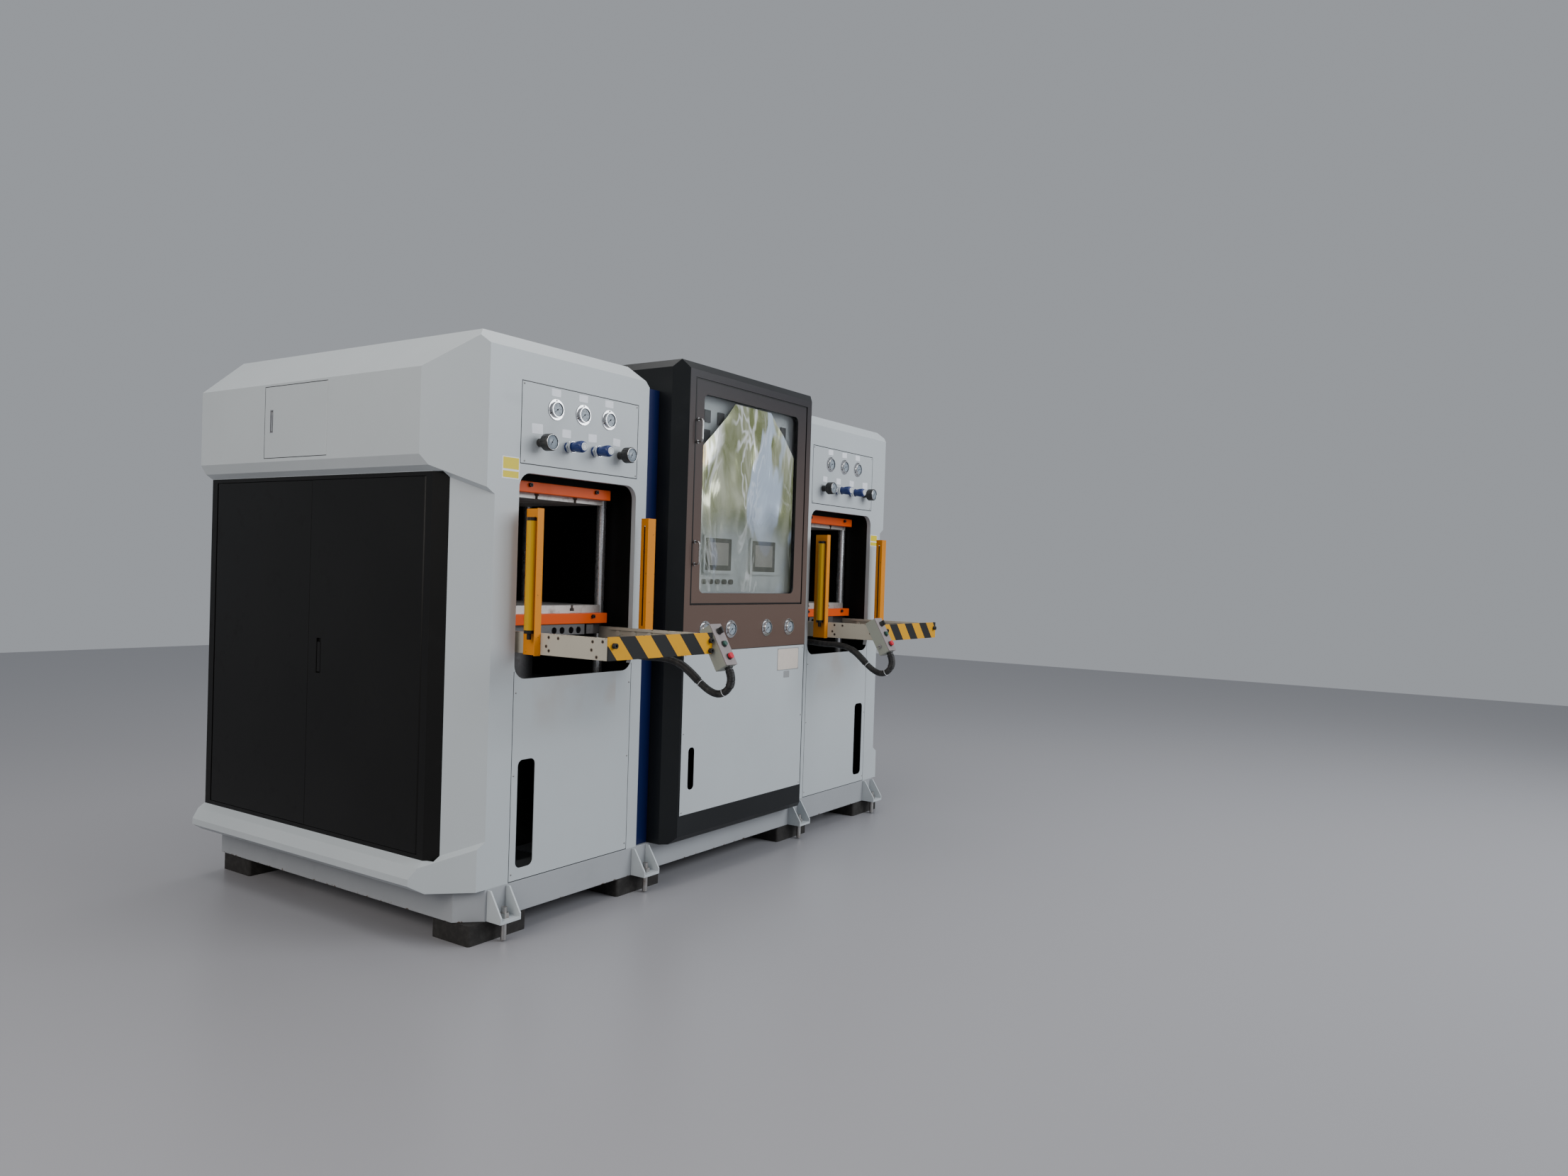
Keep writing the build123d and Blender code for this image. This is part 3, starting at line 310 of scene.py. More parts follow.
def mottled(name, first, second, scale, low, high, detail=4.0, **constants):
    """Soft patches of two colours, for small flat things."""
    made, tree, shader = new_material(name, **constants)
    patches = ramp(tree, noise(tree, object_place(tree), scale, detail), low, high)
    feed(shader, Base_Color=blend_colour(tree, patches, tint(first), tint(second)))
    return made


def colour_of(shader):
    """What feeds the shader's colour so far."""
    return shader.inputs["Base Color"].links[0].from_socket


def recolour(shader, mask, colour):
    """Lays a plain colour over what already feeds the shader, where the mask is 1."""
    feed(shader, Base_Color=blend_colour(shader.id_data, mask, colour_of(shader), tint(colour)))


def chip(shader, where, size=60.0, bare=(0.05, 0.025, 0.015)):
    worn = group(shader.id_data, chipped, Color=colour_of(shader), Bare=tint(bare), Where=where, Size=size)
    feed(shader, Base_Color=worn["Color"])


# %% [markdown]
# ## The housings' paint
# The two housings, their cover plates and the machine's feet have the same pale blue-grey powder coat. Inside, the
# faces are painted black, as the deep shade of the work opening. One material does both: it asks whether a face looks
# back towards the middle of its own station, or backwards or down from under the roof, and paints those faces black as
# shade. Faces that look forward from behind the front sheet, such as the cover plates' seats, are painted black too,
# as the shadow in the gaps round the plates. The rear panels' inner faces look forward and get the same painted shade.
# A plain version covers the feet.

# %% Housing paint
pale = (0.525, 0.562, 0.582)
# Black for painted shade: inside the housings, and in the gaps and seams round the covers.
black = (0.012, 0.012, 0.013)


def housing_coat(name):
    return painted(name, pale, cloud=0.92, gloss=0.36, scuffs=0.25)


housing_coat("white_paint")
_, tree, shader = housing_coat("housing_paint_and_shade")
spot = split(tree, object_place(tree))
facing = facing_parts(tree)
off_centre = minus(tree, absolute(tree, spot[0]), station)
inward = times(tree, off_centre, times(tree, sign(tree, spot[0]), facing[0]))
# Walls, backs and ceiling inside the opening are painted black as shade. Front faces set back from the front sheet are
# painted black as the shadow in the gaps round the cover plates.
shaded_walls = times(tree, under(tree, inward, -0.3), beyond(tree, (0, 1, 0), front + 0.027))
shaded_backs = times(tree, over(tree, facing[1], 0.5), beyond(tree, (0, -1, 0), -front - 1.7))
shaded_ceiling = times(tree, under(tree, facing[2], -0.5), beyond(tree, (0, 0, 1), 2.2))
gap_shadow = times(tree, under(tree, facing[1], -0.95), beyond(tree, (0, 1, 0), front + 0.002))
recolour(shader, largest(tree, shaded_walls, shaded_backs, shaded_ceiling, gap_shadow), black)

_, tree, shader = housing_coat("rear_paint_and_shade")
# The rear panels' forward-looking faces are painted black as shade.
recolour(shader, under(tree, facing_parts(tree)[1], -0.5), black)

# %% [markdown]
# ## Seams round the covers
# A cover plate has a dark line round it where it meets the housing: painted shadow of the gap, with dirt in it. The
# line is a strip of the plate's own material, as wide as a seam, along the edges of its box. The lower panels end at
# the work opening, so they have no line along the top, and a faint greasy smear there instead. The small hood doors
# have the same dark line, and a steel latch, which the CAD keeps in one piece with the door, so their material finds
# it by its place.

# %% Cover paints
no_edge = 9.0
seams = {"plate_paint": ("gauge_plates", station, 0.0032), "panel_paint": ("lower_panels", station, 0.0022),
         "service_paint": ("cabinet_service_panel", 0.0, 0.0018)}
for name, (node, centre, width) in seams.items():
    _, tree, shader = housing_coat(name)
    low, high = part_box(node)
    half = high[0] - centre
    across_span = (0, centre - half, centre + half)
    top = no_edge if node == "lower_panels" else high[2]
    if node == "lower_panels":
        spot = object_place(tree)
        greasy = ramp(tree, noise(tree, spot, 3.5, 3.0), 0.45, 0.75)
        inner = minus(tree, 1.0, edge_lines(tree, 0.10, across_span))
        band = times(tree, ramp(tree, split(tree, spot)[2], 0.78, 0.92), times(tree, inner, 0.5))
        recolour(shader, times(tree, greasy, band), (0.42, 0.33, 0.26))
    # The dark line round the cover: painted shadow of its gap, with dirt.
    recolour(shader, edge_lines(tree, width, across_span, (2, low[2], top)), black)

_, tree, shader = housing_coat("hood_door_paint")
low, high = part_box("left_hood_door")
# The dark line round the hood door: painted shadow of its gap, with dirt.
recolour(shader, edge_lines(tree, 0.0022, (1, low[1], high[1]), (2, low[2], high[2])), black)
latch_y, latch_z = high[1] - 0.052, (low[2] + high[2]) / 2 + 0.004
outside = edge_lines(tree, 0.0, (1, latch_y - 0.012, latch_y + 0.012), (2, latch_z - 0.05, latch_z + 0.05))
latch = minus(tree, 1.0, outside)
recolour(shader, latch, (0.62, 0.62, 0.63))
feed(shader, Metallic=latch)

# %% [markdown]
# ## The base, dark doors, cabinet and filler strips
# The base is a darker grey than the housings, painted for the shade low down by the floor, and it is dirtier with
# scuffs; its lower edge is chipped. The doors are satin black. The cabinet has a coarse dark texture coat: slate on
# its corners, and brown where the front catches the light of the hall, so the material turns brown on faces that look
# straight forward, and less so towards the top. A black band runs round the cabinet's door: its gap, with painted
# shadow beside it.

# %% Base and cabinet paints
base_foot = 0.082
# The base's darker grey is painted shade near the floor.
_, tree, shader = painted("base_paint_and_shade", (0.38, 0.395, 0.415), cloud=0.85, gloss=0.42, scuffs=0.6)
chip(shader, near_ends(tree, 2, base_foot, no_edge, 0.02), 45.0, (0.10, 0.07, 0.05))
painted("black_paint", (0.0040, 0.0038, 0.0036), cloud=1.8, gloss=0.42, peel=1100.0, shine=0.22)
painted("navy_paint", (0.004, 0.011, 0.075), cloud=0.7, gloss=0.4, shine=0.25)

strip_top = 1.108
for name in ("cabinet_paint", "cabinet_door_paint"):
    _, tree, shader = painted(name, (0.006, 0.007, 0.008), cloud=1.8, gloss=0.34, peel=420.0, relief=0.5, shine=0.3)
    spot = object_place(tree)
    height = split(tree, spot)[2]
    lower = ramp(tree, height, 2.42, 1.40)
    brown = blend_colour(tree, lower, (0.017, 0.016, 0.020, 1), (0.110, 0.066, 0.050, 1))
    speckle = ramp(tree, noise(tree, spot, 500.0, 2.0), 0.35, 0.75)
    speckle = times(tree, speckle, plus(tree, 0.08, times(tree, lower, 0.26)))
    brown = blend_colour(tree, speckle, brown, (0.18, 0.14, 0.125, 1))
    straight = times(tree, under(tree, facing_parts(tree)[1], -0.95), over(tree, height, strip_top))
    feed(shader, Base_Color=blend_colour(tree, straight, colour_of(shader), brown))
low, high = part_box("cabinet_door")
# A black band round the door: its gap, and the painted shadow beside it.
door_gap_shadow = edge_lines(tree, 0.0070, (0, -high[0], high[0]), (2, low[2], high[2]))
recolour(shader, door_gap_shadow, (0.004, 0.004, 0.004))

# %% [markdown]
# ## Orange, amber and cream paint
# The clamp bars are glossy orange with black socket screws that stand out in front of them, so everything past the
# bar's front face turns black. The light curtain's posts are amber and chipped along their edges. The arms are an old
# cream colour with rust round their holes and edges. The hazard bars are yellow with slanting black stripes.

# %% Bright paints
screw_black = (0.012, 0.012, 0.012)
stripe_black = (0.014, 0.014, 0.014)
_, tree, shader = painted("orange_paint", (0.74, 0.085, 0.001), cloud=0.8, gloss=0.35, scuffs=0.5, shine=0.3)
bar_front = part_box("left_lower_bar")[0][1] + 0.0095
recolour(shader, beyond(tree, (0, -1, 0), -bar_front), screw_black)

_, tree, shader = painted("amber_paint", (0.74, 0.25, 0.001), cloud=0.8, gloss=0.4, scuffs=0.5, shine=0.3)
chip(shader, 0.55, 75.0, (0.035, 0.02, 0.012))

arm_low, arm_high, hazard_high = 1.137, 1.222, 1.228
_, tree, shader = painted("cream_paint", (0.52, 0.48, 0.39), cloud=0.8, gloss=0.45, scuffs=0.7)
worn = largest(tree, near_ends(tree, 2, arm_low, arm_high, 0.007), 0.45)
chip(shader, worn, 80.0, (0.09, 0.045, 0.025))

stripe_start, stripe_pitch, stripe_slant = 0.264, 0.183, 0.9
bolt_front = front - 0.4806
_, tree, shader = painted("hazard_paint", (0.76, 0.36, 0.001), cloud=0.8, gloss=0.45, scuffs=0.6, shine=0.3)
spot = split(tree, object_place(tree))
centre = times(tree, sign(tree, spot[0]), station)
along = plus(tree, minus(tree, spot[0], centre), stripe_start)
along = minus(tree, along, times(tree, minus(tree, hazard_high, spot[2]), stripe_slant))
stripe = under(tree, maths("FRACT", tree, maths("DIVIDE", tree, along, stripe_pitch)), 0.5)
bolts = beyond(tree, (0, -1, 0), -bolt_front)
recolour(shader, largest(tree, stripe, bolts), stripe_black)
worn = largest(tree, near_ends(tree, 2, arm_low, hazard_high, 0.006), 0.2)
chip(shader, worn, 70.0, (0.08, 0.06, 0.05))

# %% [markdown]
# ## Steel, rubber and plastic
# The platens are ground steel stained by mould release at their edges, the columns are plated, and on their upper
# part fine turned grooves catch the light, with painted shade laid in the bottoms of the grooves. The table and ram
# are dark with oil. Rubber and plastic are plain, with a little dust.

# %% Steels
steel("platen_steel", (0.62, 0.60, 0.57), (1, 6, 30), stains=0.75, gloss=0.38, metallic=0.75,
      stain=(0.16, 0.085, 0.045))
steel("dark_steel", (0.16, 0.16, 0.165), (1, 4, 20), stains=0.6, gloss=0.35, stain=(0.05, 0.03, 0.02))
bare_steel, *_ = steel("bare_steel", (0.42, 0.41, 0.40), (2, 2, 2), stains=0.6, gloss=0.35)
steel("handle_steel", (0.42, 0.42, 0.42), (1, 1, 1), gloss=0.2)

groove_low, groove_pitch = 1.543, 0.0065
_, tree, shader = steel("column_steel", (0.80, 0.81, 0.83), (4, 4, 0.3), stains=0.1, gloss=0.2, metallic=0.85)
height = split(tree, object_place(tree))[2]
turns = sine(tree, times(tree, height, 2 * math.pi / groove_pitch))
grooves = times(tree, turns, over(tree, height, groove_low))
bump(shader, grooves, 0.5, 0.0008)
# Painted shade: the bottoms of the grooves are coloured darker.
recolour(shader, times(tree, under(tree, grooves, -0.6), 0.35), (0.20, 0.20, 0.21))

chrome, tree, shader = new_material("gauge_chrome", Metallic=1.0, Base_Color=(0.72, 0.72, 0.73, 1))
feed(shader, Roughness=ramp(tree, noise(tree, object_place(tree), 30.0, 4.0), 0.0, 4.0))

# %% Rubber, plastic and small parts
plastic("pad_rubber", (0.016, 0.014, 0.013), 0.75, 0.06)
plastic("blue_plastic", (0.004, 0.024, 0.150), 0.3, 0.05)
plastic("green_plastic", (0.012, 0.075, 0.055), 0.3, 0.15)
plastic("red_plastic", (0.60, 0.012, 0.035), 0.3, 0.05)
hose_rubber = plastic("hose_rubber", (0.016, 0.016, 0.016), 0.42, 0.15)
black_plastic = plastic("black_plastic", (0.014, 0.014, 0.014), 0.35, 0.1)
white_plastic = plastic("white_plastic", (0.70, 0.72, 0.74), 0.35, 0.05)
grey_plastic = plastic("grey_plastic", (0.30, 0.31, 0.32), 0.5, 0.15)
painted("tank_grey", (0.12, 0.14, 0.16), cloud=0.8, gloss=0.35)
panel_grey, *_ = painted("panel_grey", (0.62, 0.65, 0.65), cloud=0.9, gloss=0.4)

# %% [markdown]
# ## Pieces of more than one finish
# The light curtain's tubes are yellow, ridged, with black end caps and a black inner side. The control boxes' lids
# carry black bezels, and the boxes end in a black hose fitting. The CAD keeps each as one piece, so its material finds
# the cap, the bezel or the fitting by its place. A box leans back, so its own two directions are given.

# %% Tubes, lids and boxes
tube_low, tube_high = 1.2335, 1.6685
ridge_pitch = 0.011
_, tree, shader = painted("tube_yellow", (0.66, 0.36, 0.001), cloud=0.85, gloss=0.3, scuffs=0.4, shine=0.35)
recolour(shader, near_ends(tree, 2, tube_low, tube_high, 0.0003), screw_black)
spot = split(tree, object_place(tree))
bump(shader, sine(tree, times(tree, spot[1], 2 * math.pi / ridge_pitch)), 0.5, 0.0008)
off_centre = minus(tree, absolute(tree, spot[0]), station)
outward = times(tree, sign(tree, off_centre), sign(tree, spot[0]))
inward = under(tree, times(tree, outward, facing_parts(tree)[0]), -0.8)
recolour(shader, inward, (0.010, 0.010, 0.010))

lean = math.radians(30)
box_out = Vector((0, -math.cos(lean), math.sin(lean)))
box_up = Vector((0, math.sin(lean), math.cos(lean)))
box_middle = at(0, -480, 1161)
lid_face = box_out.dot(box_middle) + 0.0305
box_foot = box_up.dot(box_middle) - 0.0985
_, tree, shader = painted("lid_grey", (0.27, 0.235, 0.235), cloud=0.8, gloss=0.4, scuffs=0.6)
recolour(shader, beyond(tree, box_out, lid_face + 0.0053), screw_black)
chip(shader, 0.3, 90.0, (0.05, 0.04, 0.035))
_, tree, shader = painted("box_grey", (0.32, 0.335, 0.285), cloud=0.85, gloss=0.45, scuffs=0.5)
recolour(shader, minus(tree, 1.0, beyond(tree, box_up, box_foot)), stripe_black)
chip(shader, 0.3, 90.0, (0.05, 0.04, 0.035))

_, tree, shader = new_material("window_glass", Transmission_Weight=1.0, IOR=1.45, Roughness=0.03,
                               Base_Color=(0.93, 0.95, 0.96, 1))
bump(shader, noise(tree, object_place(tree), 6.0, 2.0), 0.2, 0.004)

# %% [markdown]
# ## Every CAD piece gets its finish
# One table says which nodes wear which finish. A star in a name stands for left and right.

# %% Finish each CAD piece
wearers = {
    "housing_paint_and_shade": "*_shell", "rear_paint_and_shade": "rear_panels", "white_paint": "anchor_feet",
    "plate_paint": "gauge_plates", "panel_paint": "lower_panels", "service_paint": "cabinet_service_panel",
    "hood_door_paint": "*_hood_door", "base_paint_and_shade": "base_frame", "cabinet_paint": "cabinet_body",
    "cabinet_door_paint": "cabinet_door", "navy_paint": "filler_strips",
    "black_paint": "press_frames door_frames *_side_door_front *_side_door_rear",
    "orange_paint": "upper_bars *_lower_bar", "amber_paint": "light_posts", "cream_paint": "side_arms",
    "hazard_paint": "hazard_bars", "tube_yellow": "light_tubes", "platen_steel": "upper_platens *_lower_platen",
    "dark_steel": "cylinders *_ram_table", "bare_steel": "jack_bolts key_switch", "column_steel": "guide_columns",
    "gauge_chrome": "pressure_gauges", "handle_steel": "door_handles", "window_glass": "door_window",
    "panel_grey": "instrument_panel", "tank_grey": "power_units", "lid_grey": "box_lids",
    "box_grey": "control_boxes", "pad_rubber": "rubber_pads",
    "black_plastic": "panel_controllers *_selector *_knob_1 *_knob_4", "blue_plastic": "*_knob_2 *_knob_3",
    "green_plastic": "*_start_button", "red_plastic": "*_stop_button", "hose_rubber": "*_hose",
}


def named(names):
    """The nodes in a list of names, with a star for left and right."""
    return [name.replace("*", hand) for name in names.split()
            for hand in (("left", "right") if "*" in name else ("",))]


for finish, names in wearers.items():
    for name in named(names):
        nodes[name].material_slots[0].material = finishes[finish]
print("finished", sum(len(named(names)) for names in wearers.values()), "nodes of", len(nodes))

# %% [markdown]
# ## Softer edges
# Folded sheet and machined bars have small rounds on their edges that catch the light. The CAD edges are sharp, so
# three modifiers soften them: Weld joins the loose triangles, Decimate joins flat neighbours into one face, and Bevel
# rounds only what is left, the real edges. The table gives the rounds in millimetres.

# %% Bevelled edges
edge_rounds = {
    3.0: "base_frame", 1.5: "*_side_door_front *_side_door_rear", 1.2: "side_arms box_lids cabinet_door",
    1.0: "light_posts anchor_feet", 0.8: "hazard_bars upper_platens *_lower_platen",
    0.6: "cabinet_service_panel lower_panels", 0.5: "gauge_plates",
}


def soften(name, width):
    piece = nodes[name]
    weld = piece.modifiers.new("weld", "WELD")
    weld.merge_threshold = 0.00002
    flat = piece.modifiers.new("flat", "DECIMATE")
    flat.decimate_type = "DISSOLVE"
    flat.angle_limit = math.radians(1)
    round_edge = piece.modifiers.new("round", "BEVEL")
    round_edge.width = width / 1000
    round_edge.segments = 2
    round_edge.limit_method = "ANGLE"
    round_edge.angle_limit = math.radians(35)
    round_edge.harden_normals = True


for width, names in edge_rounds.items():
    for name in named(names):
        soften(name, width)

# %% [markdown]
# ## Making small pieces
# What the CAD leaves to the scene is modelled with bmesh: boxes, shapes turned about an axis, and rings. Each small
# shape is made round +Z in a mesh of its own, then moved to its place in a larger one. A finished mesh becomes a
# piece that rides on a body of the machine and wears the material it is given.

# %% Helpers for small pieces
towards_viewer = Matrix.Rotation(math.pi / 2, 4, "X")


def from_bmesh(name, bm, material, body="machine", smooth=True):
    """A modelled mesh becomes a piece of the machine that rides on a body and wears the material it is given."""
    mesh = bpy.data.meshes.new(name)
    bm.to_mesh(mesh)
    bm.free()
    for polygon in mesh.polygons:
        polygon.use_smooth = smooth
    piece = bpy.data.objects.new(name, mesh)
    scene.collection.objects.link(piece)
    mesh.materials.append(material)
    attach(piece, body)
    return piece


def put(target, shape, matrix=Matrix.Identity(4)):
    """Moves a small finished shape to its place in a larger one."""
    mesh = bpy.data.meshes.new("shape")
    shape.to_mesh(mesh)
    shape.free()
    mesh.transform(matrix)
    target.from_mesh(mesh)
    bpy.data.meshes.remove(mesh)


def bar(bm, size, matrix):
    """A box of that size with its middle at the matrix's origin."""
    made = bmesh.ops.create_cube(bm, size=1.0)
    bmesh.ops.transform(bm, matrix=matrix @ Matrix.Diagonal((*size, 1)), verts=made["verts"])
    return made["verts"]


def turned_shape(target, profile, sides, matrix=Matrix.Identity(4)):
    """A solid turned round +Z from (radius, height) points."""
    bm = bmesh.new()
    verts = [bm.verts.new((r, 0, h)) for r, h in profile]
    edges = [bm.edges.new(pair) for pair in zip(verts, verts[1:])]
    bmesh.ops.spin(bm, geom=verts + edges, cent=(0, 0, 0), axis=(0, 0, 1), angle=2 * math.pi, steps=sides,
                   use_merge=True)
    bmesh.ops.remove_doubles(bm, verts=bm.verts, dist=1e-6)
    bmesh.ops.recalc_face_normals(bm, faces=bm.faces)
    put(target, bm, matrix)


def disc(target, radius, top, bottom, sides, matrix):
    turned_shape(target, [(0, top), (radius, top), (radius, bottom), (0, bottom)], sides, matrix)


def ring(target, radius, thick, sides, matrix=Matrix.Identity(4)):
    """A torus round +Z: a small circle spun about the axis."""
    bm = bmesh.new()
    circle = bmesh.ops.create_circle(bm, segments=6, radius=thick)
    stand = Matrix.Translation((radius, 0, 0)) @ Matrix.Rotation(math.pi / 2, 4, "X")
    bmesh.ops.transform(bm, matrix=stand, verts=circle["verts"])
    bmesh.ops.spin(bm, geom=bm.verts[:] + bm.edges[:], cent=(0, 0, 0), axis=(0, 0, 1), angle=2 * math.pi, steps=sides,
                   use_merge=True)
    bmesh.ops.recalc_face_normals(bm, faces=bm.faces)
    put(target, bm, matrix)


def facing_front(x, y, z, spin=0.0):
    """Stands a shape made round +Z on the front, looking out of the machine."""
    return Matrix.Translation(at(x, y, z)) @ towards_viewer @ Matrix.Rotation(spin, 4, "Z")


def across(side, local):
    """Millimetres across the machine from millimetres across one station, which mirror each other."""
    return side * (1000 * station - local)


# %% [markdown]
# ## The hoses to the control boxes
# A ribbed conduit leaves the lower end of each control box, hangs in a loop and goes back under the arm into a
# bulkhead. Its line is a NURBS curve through the route of the CAD hose. The ribs are rings set along that line: one
# ring is a small circle spun round, and copies of it are turned to follow the curve. Fatter black rings close together
# are turns of tape, at the box and under the arm, and two pale ones are cable ties.

# %% Hose line
route = [
    (-735, -541.392, 1073.268), (-735, -559.392, 1042.091), (-736, -550, 991), (-738, -508, 961),
    (-741, -461, 964), (-745, -405, 996), (-750, -356, 1038), (-756, -303, 1075), (-762, -243, 1095),
    (-768, -178, 1100), (-772, -114, 1098), (-775, -52, 1101), (-776, 4, 1104), (-776, 54, 1104)]
hose_radius = 0.0145
rib_count = 150
tie_places = ((-0.398, 1.002), (-0.520, 0.966))


def line_points(curve_object, count):
    """Evenly spaced points and directions along a curve's own line."""
    data = curve_object.data.copy()
    data.bevel_depth = 0
    bare = bpy.data.objects.new("line", data)
    mesh = bpy.data.meshes.new_from_object(bare)
    spots = [v.co.copy() for v in mesh.vertices]
    bpy.data.objects.remove(bare)
    reach = [0.0]
    for a, b in zip(spots, spots[1:]):
        reach.append(reach[-1] + (b - a).length)
    found = []
    i = 0
    for step in range(count):
        goal = reach[-1] * (step + 0.5) / count
        while reach[i + 1] < goal:
            i += 1
        share = (goal - reach[i]) / (reach[i + 1] - reach[i])
        found.append((spots[i].lerp(spots[i + 1], share), (spots[i + 1] - spots[i]).normalized()))
    return found, reach[-1]


def along_frame(point, direction):
    """A matrix that stands a piece made round +Z on a line at that point."""
    return Matrix.Translation(point) @ Vector((0, 0, 1)).rotation_difference(direction).to_matrix().to_4x4()


def ribs(points, radius, thick):
    """One rib, then copies of it along the line."""
    model = bmesh.new()
    ring(model, radius, thick, 22)
    pattern = bpy.data.meshes.new("rib")
    model.to_mesh(pattern)
    model.free()
    bm = bmesh.new()
    for point, direction in points:
        start = len(bm.verts)
        bm.from_mesh(pattern)
        bm.verts.ensure_lookup_table()
        bmesh.ops.transform(bm, matrix=along_frame(point, direction), verts=bm.verts[start:])
    return bm


for hand, side in (("left", 1), ("right", -1)):
    curve = bpy.data.curves.new(f"{hand}_conduit", "CURVE")
    curve.dimensions = "3D"
    curve.resolution_u = 12
    curve.bevel_depth = hose_radius
    curve.bevel_resolution = 6
    spline = curve.splines.new("NURBS")
    spline.points.add(len(route) - 1)
    for point, (x, y, z) in zip(spline.points, route):
        point.co = (*at(side * x, y, z), 1)
    spline.order_u = 3
    spline.use_endpoint_u = True
    conduit = bpy.data.objects.new(f"{hand}_conduit", curve)
    scene.collection.objects.link(conduit)
    curve.materials.append(hose_rubber)
    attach(conduit, "machine")
    spots, length = line_points(conduit, rib_count)
    rib_piece = from_bmesh(f"{hand}_conduit_ribs", ribs(spots[1:-1], hose_radius + 0.0003, 0.0016), hose_rubber)
    under_arm = [spot for spot in spots if -0.385 < spot[0].y - front < -0.285]
    turns = ribs(spots[1:16] + under_arm, hose_radius + 0.0010, 0.0034)
    tape = from_bmesh(f"{hand}_conduit_tape", turns, black_plastic)
    tied = [min(spots, key=lambda spot: abs(spot[0].y - front - y) + abs(spot[0].z - z)) for y, z in tie_places]
    ties = from_bmesh(f"{hand}_conduit_ties", ribs(tied, hose_radius + 0.0024, 0.0016), white_plastic)
    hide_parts(f"{hand}_hose")
    print(hand, "hose line", round(length, 4), "m")

# %% [markdown]
# ## Gauge dials
# Every gauge has a pale dial behind its glass, with a ring of marks, a few numbers, a black needle and a black inner
# ring. The dial is a disc, the marks are thin bars turned about its middle, and the numbers are text made into a mesh.
# The glass is a clear coat on the dial's own shader. The flange carries three small screws.

# %% Dials
dial_white = mottled("dial_white", (0.34, 0.39, 0.44), (0.22, 0.27, 0.32), 25.0, 0.3, 0.8, Coat_Weight=0.25,
                     Roughness=0.5)
ink_and_slot_shade = plastic("ink_and_slot_shade", (0.01, 0.012, 0.02), 0.5, 0.02)

gauge_height, cabinet_gauge_height = 2139, 1208
gauge_places = [-3 + i * 159 for i in (-1, 0, 1)]
gauges = [(x, -120, cabinet_gauge_height) for x in (-365, -157, 157, 365)]
gauges += [(across(side, local), 0, gauge_height) for side in (-1, 1) for local in gauge_places]
number_data = bpy.data.curves.new("number", "FONT")
number_data.size = 0.0065
number_data.align_x = number_data.align_y = "CENTER"


def tick(target, x, y, z, angle, reach, size):
    """A bar on a dial, at that angle from the top and with its middle at that reach from the dial's middle."""
    bar(target, size, facing_front(x, y, z, -angle) @ Matrix.Translation((0, reach, 0)))


faces, marks, rims = bmesh.new(), bmesh.new(), bmesh.new()
for x, y, z in gauges:
    disc(faces, 0.0285, 0.0004, -0.0005, 40, facing_front(x, y - 10, z))
    for i in range(31):
        wide, long = (0.0009, 0.0045) if i % 6 == 0 else (0.0005, 0.0025)
        tick(marks, x, y - 10.6, z, math.radians(-135 + i * 9), 0.0255 - long / 2, (wide, long, 0.0003))
    for i in range(6):
        angle = math.radians(-135 + i * 54)
        number_data.body = str(i * 5)
        text = bpy.data.objects.new("number", number_data)
        mesh = bpy.data.meshes.new_from_object(text)
        bpy.data.objects.remove(text)
        mesh.transform(facing_front(x + 17 * math.sin(angle), y - 10.7, z + 17 * math.cos(angle)))
        marks.from_mesh(mesh)
        bpy.data.meshes.remove(mesh)
    tick(marks, x, y - 11.6, z, math.radians(-127), 0.006, (0.0014, 0.030, 0.0005))
    turned_shape(marks, [(0, 0.0024), (0.0028, 0.0024), (0.0034, 0), (0, 0)], 16, facing_front(x, y - 10.6, z))
    turned_shape(marks, [(0.0268, 0.0), (0.0272, 0.0014), (0.0292, 0.0014), (0.0292, 0.0), (0.0268, 0.0)], 40,
                 facing_front(x, y - 10.4, z))
    for i in range(3):
        angle = math.radians(90 + i * 120)
        turned_shape(rims, [(0, 0.0022), (0.0018, 0.0022), (0.0032, 0.0012), (0.0034, 0), (0, 0)], 12,
                     facing_front(x + 38.5 * math.cos(angle), y - 4, z + 38.5 * math.sin(angle)))
from_bmesh("gauge_dials", faces, dial_white, smooth=False)
from_bmesh("gauge_marks", marks, ink_and_slot_shade, smooth=False)
from_bmesh("gauge_rim_screws", rims, black_plastic)

# %% [markdown]
# ## The regulator knobs
# The two black knobs carry a small pressure dial in their face, in a chrome bezel. The two blue knobs have a white cap
# with a ring, and a chrome hexagon collar between the knob and the plate. All of these turn with their knob.

